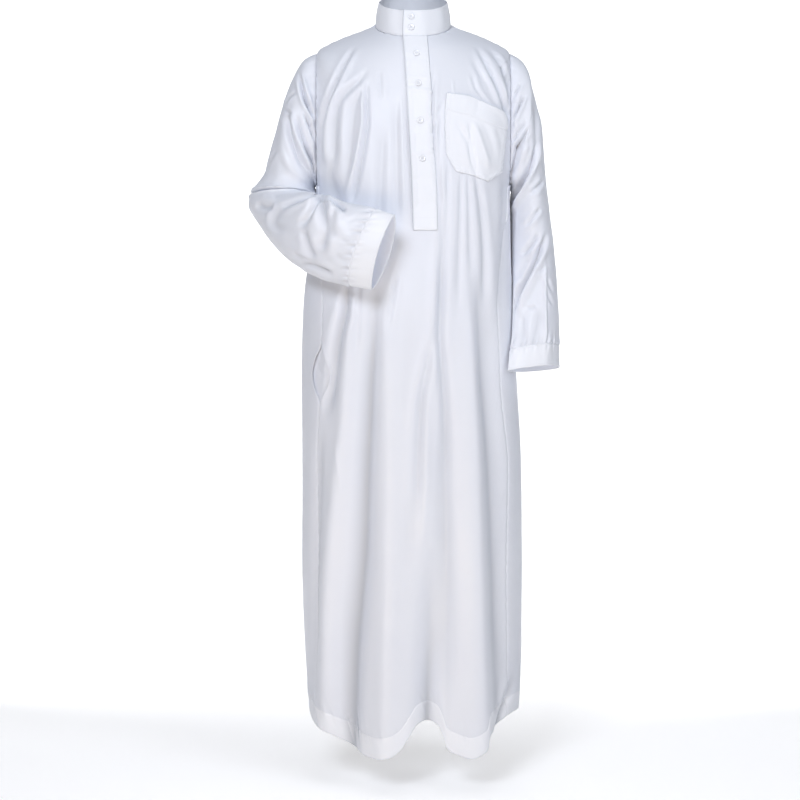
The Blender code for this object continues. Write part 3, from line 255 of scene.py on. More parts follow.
backFolds = {
    "middle ridge": (((0.010, -0.30), (-0.006, -0.80), (0.014, -1.43)), (0.022, 0.034), (0.003, 0.020)),
    "left trough": (((-0.050, -0.26), (-0.060, -0.80), (-0.058, -1.43)), (0.014, 0.024), (-0.005, -0.019)),
    "left ridge": (((-0.100, -0.24), (-0.108, -0.80), (-0.118, -1.43)), (0.020, 0.028), (0.004, 0.020),
            (0, 0), 0.7),
    "left outer trough": (((-0.145, -0.24), (-0.158, -0.80), (-0.166, -1.42)), (0.012, 0.018),
            (-0.005, -0.014)),
    "right trough": (((0.064, -0.25), (0.070, -0.80), (0.078, -1.43)), (0.014, 0.024), (-0.005, -0.021)),
    "right ridge": (((0.112, -0.28), (0.124, -0.80), (0.128, -1.43)), (0.018, 0.025), (0.004, 0.018), (0, 0),
            1.3),
    "right outer trough": (((0.150, -0.24), (0.166, -0.80), (0.172, -1.42)), (0.012, 0.017),
            (-0.004, -0.011)),
    "left blade drag": (((-0.180, -0.070), (-0.164, -0.130), (-0.142, -0.200), (-0.112, -0.34)),
            (0.006, 0.010), (-0.006, -0.005), (0.4, 0.5)),
    "left blade drag 2": (((-0.186, -0.150), (-0.166, -0.210), (-0.146, -0.280), (-0.136, -0.38)),
            (0.005, 0.008), (-0.005, -0.005), (0.4, 0.5)),
    "left blade ridge": (((-0.150, -0.06), (-0.112, -0.16), (-0.088, -0.30)), (0.010, 0.014), (0.004, 0.004)),
    "left shoulder nick": (((-0.150, -0.020), (-0.160, -0.060), (-0.178, -0.110)), (0.004, 0.005),
            (-0.003, -0.004), (0.4, 0.4)),
    "right blade drag": (((0.182, -0.075), (0.162, -0.140), (0.140, -0.210), (0.114, -0.36)), (0.006, 0.010),
            (-0.006, -0.005), (0.5, 0.4)),
    "right blade drag 2": (((0.186, -0.170), (0.168, -0.230), (0.152, -0.300), (0.144, -0.40)),
            (0.005, 0.008), (-0.005, -0.005), (0.5, 0.4)),
    "right blade ridge": (((0.150, -0.06), (0.110, -0.17), (0.090, -0.32)), (0.010, 0.014), (0.004, 0.004)),
    "right shoulder nick": (((0.146, -0.020), (0.160, -0.055), (0.180, -0.100)), (0.004, 0.005),
            (-0.003, -0.004), (0.4, 0.4)),
    "nape trough": (((-0.040, 0.020), (-0.030, -0.05), (-0.034, -0.18)), (0.007, 0.012), (-0.003, -0.003),
            (0.3, 0.4)),
    "nape trough 2": (((0.046, 0.018), (0.034, -0.04), (0.030, -0.15)), (0.006, 0.010), (-0.0025, -0.0025),
            (0.4, 0.3)),
    "waist trough 1": (((-0.020, -0.32), (-0.028, -0.52), (-0.024, -0.74)), (0.006, 0.009), (-0.005, -0.003),
            (0.4, 0.5)),
    "waist trough 2": (((0.034, -0.30), (0.038, -0.50), (0.044, -0.72)), (0.006, 0.009), (-0.005, -0.003),
            (0.5, 0.3)),
    "left waist trough": (((-0.128, -0.34), (-0.126, -0.50), (-0.132, -0.68)), (0.006, 0.009),
            (-0.005, -0.003), (0.4, 0.4)),
    "left waist trough 2": (((-0.082, -0.36), (-0.080, -0.50), (-0.086, -0.64)), (0.005, 0.008),
            (-0.003, -0.002), (0.4, 0.4)),
    "right waist trough": (((0.140, -0.34), (0.146, -0.50), (0.144, -0.66)), (0.006, 0.009), (-0.005, -0.003),
            (0.4, 0.4)),
    "right waist trough 2": (((0.094, -0.38), (0.092, -0.52), (0.098, -0.66)), (0.005, 0.008),
            (-0.003, -0.002), (0.4, 0.4)),
}
# The front hem's edge, from -X to +X: x, how far it hangs below the plain hem.
hemEdge = ((-0.215, 0.000), (-0.196, 0.014), (-0.160, 0.026), (-0.128, 0.040), (-0.105, 0.049), (-0.075, 0.053),
           (-0.048, 0.049), (-0.026, 0.036), (-0.008, 0.010), (0.008, -0.012), (0.028, -0.017), (0.046, -0.010),
           (0.056, 0.010), (0.064, 0.034), (0.084, 0.046), (0.112, 0.055), (0.138, 0.046), (0.1440, 0.040),
           (0.1475, 0.018), (0.158, 0.010), (0.178, 0.002), (0.215, -0.004))
hemEdgeReach = 0.22


def bodySize(column, station):
    return monotone(stations, bodyTable[column], station)


def plainBody(angle, station):
    # angle runs from +X over the front to -X and the back
    angle, station = np.broadcast_arrays(np.asarray(angle, float), np.asarray(station, float))
    cosine, sine = np.cos(angle), np.sin(angle)
    size = {name: bodySize(name, station) for name in bodyColumns[:-1]}
    wide = np.where(cosine > 0, size["right"], size["left"])
    deep = np.where(sine > 0, size["front"], size["back"])
    power = size["power"]
    reach = (np.abs(cosine / wide) ** power + np.abs(sine / deep) ** power) ** (-1 / power)
    x, y = reach * cosine, -reach * sine
    bowed = np.clip(np.abs(y) / deep, 0, 1) ** size["bow"]
    z = size["sideZ"] + (np.where(sine > 0, size["frontZ"], size["backZ"]) - size["sideZ"]) * bowed
    return np.stack([x, y, z], axis=-1)


def bodyRelief(points, angle, station):
    x, z, side = points[..., 0], points[..., 2], np.sin(angle)
    folds = np.where(side > 0, foldHeight(frontFolds, x, z), foldHeight(backFolds, x, z))
    nearArm = ease(garment["armholeX"] - np.abs(x), -0.001, 0.009)
    besideArm = ease(station, shoulderPoint - 0.05, shoulderPoint) * (1 - ease(station, underarm, underarm + 0.07))
    folds *= ease(np.abs(side), 0.05, 0.35) * (1 - besideArm * (1 - nearArm)) * ease(station, 0.012, 0.05)
    fromStitch = hem - garment["hemDepth"] - station
    hemPucker = 0.0016 * wobble(x * 1.3 + 0.4 * z, 0.021, 1.0) * np.exp(-(fromStitch / 0.02) ** 2)
    strong = 0.35 + 1.1 * ease(-x, 0.06, 0.12) * (side > 0)
    faint = 0.0007 * wobble(x + 0.13 * z, 0.085, 2.0) * wobble(z, 0.31, 5.0)
    return folds + hemPucker * strong + faint * ease(station, 0.05, 0.2)


def hemDrop(points, angle):
    x, z = points[..., 0], points[..., 2]
    edgeX, edgeDrop = np.array(hemEdge).T
    drop = monotone(edgeX, edgeDrop, np.clip(x, edgeX[0], edgeX[-1]))
    foot = bodyTable["sideZ"][-1]
    return drop * ease(-z, -foot - hemEdgeReach, -foot) ** 1.5 * ease(np.sin(angle), 0.05, 0.3)


def around(angle):
    return np.stack([np.cos(angle), -np.sin(angle), 0.3 + 0 * angle], axis=-1)


def normalsOf(surface, u, v, outward):
    alongU = surface(u + smallStep, v) - surface(u - smallStep, v)
    alongV = surface(u, v + smallStep) - surface(u, v - smallStep)
    normal = unit(np.cross(alongU, alongV))
    return normal * np.where((normal * outward).sum(-1, keepdims=True) < 0, -1.0, 1.0)


def bodyFace(angle, station):
    angle, station = np.broadcast_arrays(np.asarray(angle, float), np.asarray(station, float))
    station = np.clip(station, smallStep, hem - smallStep)
    points = plainBody(angle, station)
    normal = normalsOf(plainBody, angle, station, around(angle))
    folded = points + normal * bodyRelief(points, angle, station)[..., None]
    folded[..., 2] -= hemDrop(folded, angle)
    return folded


def bodyNormals(angle, station):
    within = np.clip(station, 3 * smallStep, hem - 3 * smallStep)
    return normalsOf(bodyFace, angle, within, around(np.asarray(angle)))


def armholeAngle(station, side, behind=False):
    half, power = bodySize(side, station), bodySize("power", station)
    deep = bodySize("back" if behind else "front", station)
    share = np.clip(1 - (garment["armholeX"] / np.maximum(half, garment["armholeX"])) ** power, 0, 1)
    return np.arctan2(deep * share ** (1 / power), garment["armholeX"])


def seamAngle(station, side, behind=False):
    arm = armholeAngle(underarm, side, behind)
    seam = np.radians(bodySize("seam", station))
    return seam + (arm - np.radians(bodySize("seam", underarm))) * (1 - ease(station, underarm, underarm + 0.1))


def panelEdge(station, side, behind=False):
    gap = 0.5 * garment["seamGap"] / bodySize(side, station)
    return np.where(station <= underarm, np.maximum(armholeAngle(station, side, behind), gap),
                    seamAngle(station, side, behind) + gap)


def gridNormals(points, tube=False):
    # vertex normals of a grid of points
    across = (np.roll(points, -1, 1) - np.roll(points, 1, 1)) if tube else np.gradient(points, axis=1)
    return unit(np.cross(across, np.gradient(points, axis=0)))


def lengthsOf(points, axis):
    steps = np.linalg.norm(np.diff(points, axis=axis), axis=-1)
    start = np.zeros_like(np.take(steps, [0], axis=axis))
    return np.concatenate([start, np.cumsum(steps, axis=axis)], axis=axis)


def makeWall(name, outer, inner, materials, tube=False, bandRows=None, inside=False, shadeMask=None):
    # a closed wall between two grids, with a rounded rim, and a UV map in metres
    rows, columns = outer.shape[:2]
    rimPoints, grids = [], [outer.reshape(-1, 3), inner.reshape(-1, 3)]
    count = rows * columns
    across = columns if tube else columns - 1

    def rim(outerLine, innerLine, inward):
        middle = (outerLine + innerLine) / 2
        thick = np.linalg.norm(outerLine - innerLine, axis=-1, keepdims=True)
        return middle - unit(inward) * thick * 0.5

    top, foot = rim(outer[0], inner[0], outer[1] - outer[0]), rim(outer[-1], inner[-1], outer[-2] - outer[-1])
    grids += [top, foot]
    topAt, footAt = 2 * count, 2 * count + columns
    if not tube:
        left = rim(outer[:, 0], inner[:, 0], outer[:, 1] - outer[:, 0])
        right = rim(outer[:, -1], inner[:, -1], outer[:, -2] - outer[:, -1])
        left[0], left[-1], right[0], right[-1] = top[0], foot[0], top[-1], foot[-1]
        grids += [left[1:-1], right[1:-1]]
        leftIndex = np.concatenate([[topAt], footAt + columns + np.arange(rows - 2), [footAt]])
        rightIndex = np.concatenate([[topAt + columns - 1], footAt + columns + rows - 2 + np.arange(rows - 2),
                                     [footAt + columns - 1]])
    i, j = np.meshgrid(np.arange(rows - 1), np.arange(across), indexing="ij")
    a, b = i * columns + j, i * columns + (j + 1) % columns
    flatOuter = outer.reshape(-1, 3)
    # a skewed quad is split along its shorter diagonal, which is the one from its first corner
    shorter = (np.linalg.norm(flatOuter[a] - flatOuter[b + columns], axis=-1)
               <= np.linalg.norm(flatOuter[b] - flatOuter[a + columns], axis=-1))[..., None]
    quads = np.where(shorter, np.stack([a, b, b + columns, a + columns], axis=-1),
                     np.stack([b, b + columns, a + columns, a], axis=-1)).reshape(-1, 4)
    faces = [quads, quads[:, ::-1] + count]
    k = np.arange(across)
    nextK = (k + 1) % columns
    for row, middle, flip in ((0, topAt, False), (rows - 1, footAt, True)):
        o0, o1 = row * columns + k, row * columns + nextK
        for first, second in (((o0, o1), (middle + k, middle + nextK)),
                              ((middle + k, middle + nextK), (o0 + count, o1 + count))):
            strip = np.stack([first[1], first[0], second[0], second[1]], axis=-1)
            faces.append(strip[:, ::-1] if flip else strip)
    if not tube:
        r = np.arange(rows - 1)
        for column, middle, flip in ((0, leftIndex, True), (columns - 1, rightIndex, False)):
            o0, o1 = r * columns + column, (r + 1) * columns + column
            for first, second in (((o0, o1), (middle[:-1], middle[1:])),
                                  ((middle[:-1], middle[1:]), (o0 + count, o1 + count))):
                strip = np.stack([first[1], first[0], second[0], second[1]], axis=-1)
                faces.append(strip[:, ::-1] if flip else strip)
    faces = np.concatenate(faces)
    vertices = np.concatenate(grids)
    mesh = bpy.data.meshes.new(name)
    mesh.from_pydata(vertices.tolist(), [], faces.tolist())
    uv = np.stack([lengthsOf(outer, 1), lengthsOf(outer, 0)], axis=-1).reshape(-1, 2)
    uvAll = np.concatenate([uv, uv, np.zeros((len(vertices) - 2 * count, 2))])
    uvAll[topAt:topAt + columns] = uv[:columns]
    uvAll[footAt:footAt + columns] = uv[-columns:]
    if not tube:
        uvAll[leftIndex[1:-1]] = uv.reshape(rows, columns, 2)[1:-1, 0]
        uvAll[rightIndex[1:-1]] = uv.reshape(rows, columns, 2)[1:-1, -1]
    layer = mesh.uv_layers.new(name="threads")
    layer.data.foreach_set("uv", uvAll[faces.reshape(-1)].astype(np.float32).reshape(-1))
    # the outer points carry the mask of painted shade that the cloth's material greys by
    if shadeMask is not None:
        shade = np.zeros(len(vertices), np.float32)
        shade[:count] = shadeMask.reshape(-1)
        mesh.attributes.new("hollow", "FLOAT", "POINT").data.foreach_set("value", shade)
    for material in materials:
        mesh.materials.append(material)
    if bandRows is not None:
        band = np.zeros(len(faces), np.int32)
        band[:len(quads)] = band[len(quads):2 * len(quads)] = (a.reshape(-1) // columns >= bandRows)
        mesh.polygons.foreach_set("material_index", band)
    if inside:
        wall = np.zeros(len(faces), np.int32)
        wall[len(quads):2 * len(quads)] = 1
        mesh.polygons.foreach_set("material_index", wall)
    mesh.shade_smooth()
    mesh.update()
    piece = bpy.data.objects.new(name, mesh)
    bpy.context.scene.collection.objects.link(piece)
    # the outer face must look away from the inner one
    facing = np.cross(outer[1:, :-1] - outer[:-1, :-1], outer[:-1, 1:] - outer[:-1, :-1])
    if ((outer - inner)[:-1, :-1] * facing).sum() > 0:
        mesh.flip_normals()
    return piece


def paintedShadeOf(relief, spacing, wide, deep, tube=False):
    # how far each point lies in below its surroundings, from 0 to 1: the mask of painted shade in the folds'
    # troughs
    steps = np.arange(-int(2.5 * wide / spacing), int(2.5 * wide / spacing) + 1)
    weights = np.exp(-(steps * spacing / wide) ** 2)
    padded = np.pad(relief, ((0, 0), (len(steps) // 2,) * 2), mode="wrap" if tube else "edge")
    nearby = sum(w * padded[:, k:k + relief.shape[1]] for k, w in enumerate(weights / weights.sum()))
    return np.clip((nearby - relief) / deep, 0, 1)


def sheetArea(outer, tube=False):
    if tube:
        outer = np.concatenate([outer, outer[:, :1]], axis=1)
    a = np.cross(outer[1:, :-1] - outer[:-1, :-1], outer[:-1, 1:] - outer[:-1, :-1])
    b = np.cross(outer[:-1, 1:] - outer[1:, 1:], outer[1:, :-1] - outer[1:, 1:])
    return float((np.linalg.norm(a, axis=-1) + np.linalg.norm(b, axis=-1)).sum() / 2)


def spaced(low, high, count, ends=0.0):
    # evenly, or closer at both ends
    t = np.linspace(0, 1, count)
    return low + (high - low) * (t + ends * (0.5 - 0.5 * np.cos(np.pi * t) - t))


def closeToEdges(count, width, edge=0.0016):
    # shares across a piece, with extra columns along both its edges
    near = np.array([0, edge, 2.6 * edge, 5.0 * edge]) / width
    return np.concatenate([near, np.linspace(near[-1] * 1.7, 1 - near[-1] * 1.7, count), 1 - near[::-1]])


def sample(grid, row, column, tube=False):
    # a point of a grid at any share down (0 to 1) and across (0 to 1)
    rows, columns = grid.shape[:2]
    r = np.clip(np.asarray(row, float) * (rows - 1), 0, rows - 1.000001)
    c = np.asarray(column, float) * (columns if tube else columns - 1)
    c = np.mod(c, columns) if tube else np.clip(c, 0, columns - 1.000001)
    i, j = r.astype(int), c.astype(int)
    u, v = (r - i)[..., None], (c - j)[..., None]
    nextJ = (j + 1) % columns
    return ((grid[i, j] * (1 - v) + grid[i, nextJ] * v) * (1 - u)
            + (grid[i + 1, j] * (1 - v) + grid[i + 1, nextJ] * v) * u)


# Materials


def hexColour(text):
    parts = [int(text[k:k + 2], 16) / 255 for k in (1, 3, 5)]
    return tuple(p / 12.92 if p <= 0.04045 else ((p + 0.055) / 1.055) ** 2.4 for p in parts) + (1.0,)


def addNode(tree, kind, settings=None, inputs=None, links=()):
    # one node with its settings and input values, and links as (its input, another node's output)
    node = tree.nodes.new(kind)
    for key, value in (settings or {}).items():
        setattr(node, key, value)
    for key, value in (inputs or {}).items():
        node.inputs[key].default_value = value
    for key, output in links:
        tree.links.new(output, node.inputs[key])
    return node


def startMaterial(name):
    material = bpy.data.materials.new(name)
    material.use_nodes = True
    tree = material.node_tree
    tree.nodes.clear()
    return material, tree


poplin = {
    "ribSpacing": 0.013823,    # m; real threads lie 0.25 mm apart, too fine to show, so this is far coarser
    "ribDepth": 0.00007,
    "sheen": 0.12,
}


def makePoplin(name, colour, shade, roughness, paintedGlow=0.0):
    # polyester-cotton poplin, mercerised and pressed: a fine plain weave with a soft satin gloss
    material, tree = startMaterial(name)
    uv = addNode(tree, "ShaderNodeUVMap", {"uv_map": "threads"})
    place = addNode(tree, "ShaderNodeTexCoord")
    ribs = 2 * math.pi / 20 / poplin["ribSpacing"]       # a wave texture turns 20 radians in a unit
    warp = addNode(tree, "ShaderNodeTexWave", {"bands_direction": "X", "wave_profile": "SIN"},
                   {"Scale": ribs, "Distortion": 0.6, "Detail": 1.0, "Detail Scale": 2.0},
                   [("Vector", uv.outputs["UV"])])
    weft = addNode(tree, "ShaderNodeTexWave", {"bands_direction": "Y", "wave_profile": "SIN"},
                   {"Scale": ribs, "Distortion": 0.6, "Detail": 1.0, "Detail Scale": 2.0},
                   [("Vector", uv.outputs["UV"])])
    weave = addNode(tree, "ShaderNodeMath", {"operation": "MULTIPLY"}, None,
                    [(0, warp.outputs["Fac"]), (1, weft.outputs["Fac"])])
    crush = addNode(tree, "ShaderNodeTexNoise", None,
                    {"Scale": 22.0, "Detail": 5.0, "Roughness": 0.55, "Distortion": 0.6},
                    [("Vector", place.outputs["Object"])])
    fine = addNode(tree, "ShaderNodeBump", None, {"Strength": 0.5, "Distance": poplin["ribDepth"]},
                   [("Height", weave.outputs[0])])
    soft = addNode(tree, "ShaderNodeBump", None, {"Strength": 0.30, "Distance": 0.0016},
                   [("Height", crush.outputs["Fac"]), ("Normal", fine.outputs["Normal"])])
    slub = addNode(tree, "ShaderNodeTexNoise", None, {"Scale": 7.0, "Detail": 3.0, "Roughness": 0.6},
                   [("Vector", place.outputs["Object"])])
    tint = addNode(tree, "ShaderNodeMix", {"data_type": "RGBA"}, {"A": hexColour(colour), "B": hexColour(shade)},
                   [("Factor", slub.outputs["Fac"])])
    # painted shade: where the folds lie in below their surroundings the colour is greyer
    hollow = addNode(tree, "ShaderNodeAttribute", {"attribute_name": "hollow"})
    paintedShadeColour = addNode(tree, "ShaderNodeMix", {"data_type": "RGBA"}, {"B": hexColour("#BEC2CA")},
                     [("A", tint.outputs["Result"]), ("Factor", hollow.outputs["Fac"])])
    gloss = addNode(tree, "ShaderNodeMapRange", None,
                    {"From Min": 0.3, "From Max": 0.7, "To Min": roughness - 0.05, "To Max": roughness + 0.06},
                    [("Value", slub.outputs["Fac"])])
    # an emission, where it is set, paints in a glow of light
    shader = addNode(tree, "ShaderNodeBsdfPrincipled", None,
                     {"IOR": 1.5, "Sheen Weight": poplin["sheen"], "Sheen Roughness": 0.35,
                      "Emission Color": hexColour("#D5DBE8"), "Emission Strength": paintedGlow},
                     [("Base Color", paintedShadeColour.outputs["Result"]), ("Roughness", gloss.outputs["Result"]),
                      ("Normal", soft.outputs["Normal"])])
    addNode(tree, "ShaderNodeOutputMaterial", None, None, [("Surface", shader.outputs["BSDF"])])
    return material


singleCloth = makePoplin("white_poplin_single", "#EDF0F7", "#E6E9F2", 0.44)
doubledCloth = makePoplin("white_poplin_doubled", "#F6F8FD", "#F1F4FB", 0.44)
# inside the sleeves the emission paints in a glow, standing in for the light that comes through the thin cloth
insideCloth = makePoplin("white_poplin_inside", "#EDF0F7", "#E6E9F2", 0.50, paintedGlow=0.12)


def makeThread():
    # polyester sewing thread: two plies that catch a little light
    material, tree = startMaterial("white_thread")
    place = addNode(tree, "ShaderNodeTexCoord")
    plies = addNode(tree, "ShaderNodeTexWave", {"bands_direction": "DIAGONAL"}, {"Scale": 700.0},
                    [("Vector", place.outputs["Object"])])
    twist = addNode(tree, "ShaderNodeBump", None, {"Strength": 0.4, "Distance": 0.0001},
                    [("Height", plies.outputs["Fac"])])
    colour = addNode(tree, "ShaderNodeMix", {"data_type": "RGBA"},
                     {"A": hexColour("#DFE4EF"), "B": hexColour("#F4F6FC")}, [("Factor", plies.outputs["Fac"])])
    shader = addNode(tree, "ShaderNodeBsdfPrincipled", None, {"Roughness": 0.45, "Sheen Weight": 0.2},
                     [("Base Color", colour.outputs["Result"]), ("Normal", twist.outputs["Normal"])])
    addNode(tree, "ShaderNodeOutputMaterial", None, None, [("Surface", shader.outputs["BSDF"])])
    return material


def makeResin():
    # cast polyester resin, polished: milky, with faint pearl clouds under a hard gloss
    material, tree = startMaterial("white_resin")
    place = addNode(tree, "ShaderNodeTexCoord")
    pearl = addNode(tree, "ShaderNodeTexNoise", None, {"Scale": 160.0, "Detail": 2.0, "Distortion": 1.2},
                    [("Vector", place.outputs["Object"])])
    colour = addNode(tree, "ShaderNodeMix", {"data_type": "RGBA"},
                     {"A": hexColour("#ECEFF6"), "B": hexColour("#FAFBFE")}, [("Factor", pearl.outputs["Fac"])])
    shader = addNode(tree, "ShaderNodeBsdfPrincipled", None,
                     {"Roughness": 0.18, "IOR": 1.54, "Coat Weight": 0.3, "Coat Roughness": 0.08},
                     [("Base Color", colour.outputs["Result"])])
    addNode(tree, "ShaderNodeOutputMaterial", None, None, [("Surface", shader.outputs["BSDF"])])
    return material


threadMaterial, resinMaterial = makeThread(), makeResin()
print("materials made")

# Panels of the body

sideMouth = {
    "top": -0.634,          # ends of the pocket's mouth in the seam at -X
    "foot": -0.740,
    "frontGap": math.radians(5.0),
    "backGap": math.radians(6.0),
    "lipRoll": 0.0022,
}
seamFinish = {"dip": 0.0006, "dipWide": 0.0020, "pucker": 0.0007, "puckerWide": 0.014, "wavelength": 0.024}


def stationAtSeam(z):
    return np.interp(-z, -plainBody(np.radians(152.0), stations)[:, 2], stations)


def mouthPart(station):
    top, foot = stationAtSeam(sideMouth["top"]), stationAtSeam(sideMouth["foot"])
    return np.sin(np.pi * np.clip((station - top) / (foot - top), 0, 1))


def finishEdges(outer, normal, seed, sides=(True, True), top=True):
    # the cloth turns in at its seams and puckers a little beside them
    fromLeft = lengthsOf(outer, 1)
    fromRight = fromLeft[:, -1:] - fromLeft
    down = lengthsOf(outer, 0)
    total = np.zeros(outer.shape[:2])
    edges = [(fromLeft, down)] * sides[0] + [(fromRight, down)] * sides[1] + [(down, fromLeft)] * top
    for k, (away, along) in enumerate(edges):
        total -= seamFinish["dip"] * np.exp(-(away / seamFinish["dipWide"]) ** 2)
        ripple = wobble(along, seamFinish["wavelength"], seed + 1.7 * k)
        total += seamFinish["pucker"] * ripple * np.exp(-(away / seamFinish["puckerWide"]) ** 2)
    return outer + normal * total[..., None]


def panelRows(neckRows, armRows, skirtRows, lower=False):
    stitched = hem - garment["hemDepth"]
    skirt = spaced(underarm, stitched - 0.004, skirtRows)
    band = stitched + np.array([-0.0024, -0.0012, 0, 0.0012, 0.0024, 0.006, 0.011, 0.017, 0.023, 0.029, 0.034])
    if lower:
        skirt = skirt + garment["seamGap"] * (skirt == underarm)
        return np.concatenate([skirt, band, [hem]])
    return np.concatenate([spaced(0, shoulderPoint, neckRows)[:-1],
                           spaced(shoulderPoint, underarm, armRows, ends=0.6)[:-1], skirt, band, [hem]])


edgeReach = 0.17         # share of a panel's width over which its columns follow its edge


def bodyPanel(name, rows, low, high, shares, node, seed, top=True, lip=None):
    # only the columns near its edges follow them; lip is the column at the pocket's mouth
    middle = np.array([low[-1], high[-1]])
    pull = np.clip(1 - np.stack([shares, 1 - shares]) / edgeReach, 0, 1) ** 2
    angles = (middle[0] + (middle[1] - middle[0]) * shares + (low - middle[0])[:, None] * pull[0]
              + (high - middle[1])[:, None] * pull[1])
    stationGrid = np.broadcast_to(rows[:, None], angles.shape)
    outer = bodyFace(angles, stationGrid)
    normal = gridNormals(outer)
    normal *= np.sign((normal * around(angles)).sum())
    outer = finishEdges(outer, normal, seed, top=top)
    if lip is not None:
        away = np.abs(lengthsOf(outer, 1) - lengthsOf(outer, 1)[:, [lip]])
        rolled = sideMouth["lipRoll"] * mouthPart(stationGrid) * np.exp(-(away / 0.0045) ** 2)
        rolled *= stationGrid > underarm
        outer = outer + normal * rolled[..., None]
    fromStitch = stationGrid - (hem - garment["hemDepth"])
    raised = 0.0007 * ease(fromStitch, -0.0008, 0.0016) - 0.0008 * np.exp(-(fromStitch / 0.0014) ** 2)
    outer = outer + normal * raised[..., None]
    thick = garment["cloth"] + (garment["doubled"] - garment["cloth"]) * ease(fromStitch, 0, 0.002)
    inner = outer - normal * thick[..., None]
    relief = ((outer - plainBody(angles, stationGrid)) * normal).sum(-1)
    # painted shade, greyer in the folds' troughs, from the relief
    piece = makeWall(name, outer, inner, [singleCloth, doubledCloth],
                     shadeMask=paintedShadeOf(relief, 0.5 / len(shares), 0.040, 0.016),
                     bandRows=int(np.searchsorted(rows, hem - garment["hemDepth"])))
    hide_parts(node)
    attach(piece, "root")
    print(name, "faces", len(piece.data.polygons), "area", round(sheetArea(outer), 3))
    return outer


upperRows = panelRows(30, 96, 110)
lowerRows = panelRows(0, 0, 110, lower=True)
opened = mouthPart(upperRows) * (upperRows > underarm)
frontGrid = bodyPanel("robe_front", upperRows, panelEdge(upperRows, "right"),
                      np.pi - panelEdge(upperRows, "left") - sideMouth["frontGap"] * opened,
                      closeToEdges(182, 0.50), "front", 1.0, lip=-1)
backGrid = bodyPanel("robe_back", upperRows, np.pi + panelEdge(upperRows, "left", behind=True),
                     2 * np.pi - panelEdge(upperRows, "right", behind=True),
                     closeToEdges(136, 0.50), "back", 2.0)
seamSlit = 0.5 * garment["seamGap"] / bodySize("right", lowerRows)
rightSideGrid = bodyPanel("robe_side_right", lowerRows, seamSlit - seamAngle(lowerRows, "right", behind=True),
                          seamAngle(lowerRows, "right") - seamSlit, closeToEdges(30, 0.18),
                          "side_panel_right", 3.0)
leftSideGrid = bodyPanel("robe_side_left", lowerRows,
                         np.pi - seamAngle(lowerRows, "left") + seamSlit
                         + sideMouth["backGap"] * mouthPart(lowerRows),
                         np.pi + seamAngle(lowerRows, "left", behind=True) - seamSlit, closeToEdges(30, 0.18),
                         "side_panel_left", 4.0, lip=0)
print("body panels made")

# Placket, pocket and what is laid on the front


def frontPlace(x, z):
    # the angle and station of the point of the plain front that has this x and z
    x, z = np.broadcast_arrays(np.asarray(x, float), np.asarray(z, float))
    low, high = np.zeros_like(x), np.full_like(x, hem)

    def angleAt(station):
        half = np.where(x > 0, bodySize("right", station), bodySize("left", station))
        power, deep = bodySize("power", station), bodySize("front", station)
        y = deep * np.clip(1 - (np.abs(x) / half) ** power, 1e-6, 1) ** (1 / power)
        return np.arctan2(y, x)

    for _ in range(40):
        middle = (low + high) / 2
        above = plainBody(angleAt(middle), middle)[..., 2] > z
        low, high = np.where(above, middle, low), np.where(above, high, middle)
    return angleAt(low), low


def onFront(x, z):
    angle, station = frontPlace(x, z)
    return bodyFace(angle, station), bodyNormals(angle, station)


placket = {
    "wide": 0.046,
    "foot": -0.412,
    "tall": 0.37,
    "line": ((-0.412, 0.022), (-0.300, 0.018), (-0.200, 0.0125), (-0.110, 0.008), (-0.034, 0.003)),
    "rows": 150,
    "columns": 30,
    "stitchIn": 0.0022,     # from its edges to its edge stitching
    "puckers": {            # z, slope, half width, height, from share, to share across
        "at the top button": (-0.081, -0.10, 0.0040, -0.0012, -0.1, 0.9),
        "over the second": (-0.120, 0.05, 0.0050, 0.0012, -0.1, 1.1),
        "under the second": (-0.136, -0.06, 0.0030, -0.0024, -0.1, 1.1),
        "under that": (-0.144, -0.08, 0.0045, 0.0014, -0.1, 1.1),
        "long slant": (-0.215, 0.55, 0.0040, -0.0020, 0.05, 0.9),
        "over the slant": (-0.196, 0.45, 0.0060, 0.0012, 0.0, 0.8),
        "above the last": (-0.262, 0.12, 0.0050, 0.0010, 0.0, 1.0),
        "under the last": (-0.318, -0.10, 0.0040, -0.0016, 0.0, 1.0),
        "low": (-0.365, 0.20, 0.0060, -0.0012, 0.0, 1.0),
    },
}
placketTop = -0.0420        # its top edge, just below the neck seam


def placketMiddle(z):
    heights, middles = zip(*placket["line"])
    return monotone(heights, middles, z)


def neckHeight(x):
    half, frontZ = bodyTable["right"][0], bodyTable["frontZ"][0]
    return frontZ * np.sqrt(np.clip(1 - (x / half) ** 2, 0, 1))


def placketLift(x, z):
    # how far the placket's back face stands off the front
    share = (x - placketMiddle(z)) / placket["wide"] + 0.5
    lift = garment["laidOn"] + np.zeros_like(x)
    for at, slope, wide, high, first, last in placket["puckers"].values():
        away = z - at - slope * (x - placketMiddle(z))
        inside = ease(share, first - 0.1, first + 0.15) * (1 - ease(share, last - 0.15, last + 0.1))
        lift = lift + high * np.exp(-(away / wide) ** 2) * inside
    # between the second button and the last one its open edge stands up
    stands = 0.0010 + 0.0020 * ease(-z, 0.17, 0.24) * (1 - ease(-z, 0.33, 0.40))
    lift = lift + (1 - ease(share, 0.0, 0.30)) * stands
    return lift


def rimGroove(u, v, wide, tall, inset, depth=0.0006, half=0.0009):
    # the dip along a row of stitches that runs at one distance from a patch's edges
    away = np.minimum(np.minimum(u, 1 - u) * wide, np.minimum(v + 1, 1 - v) * tall)
    return -depth * np.exp(-((away - inset) / half) ** 2)


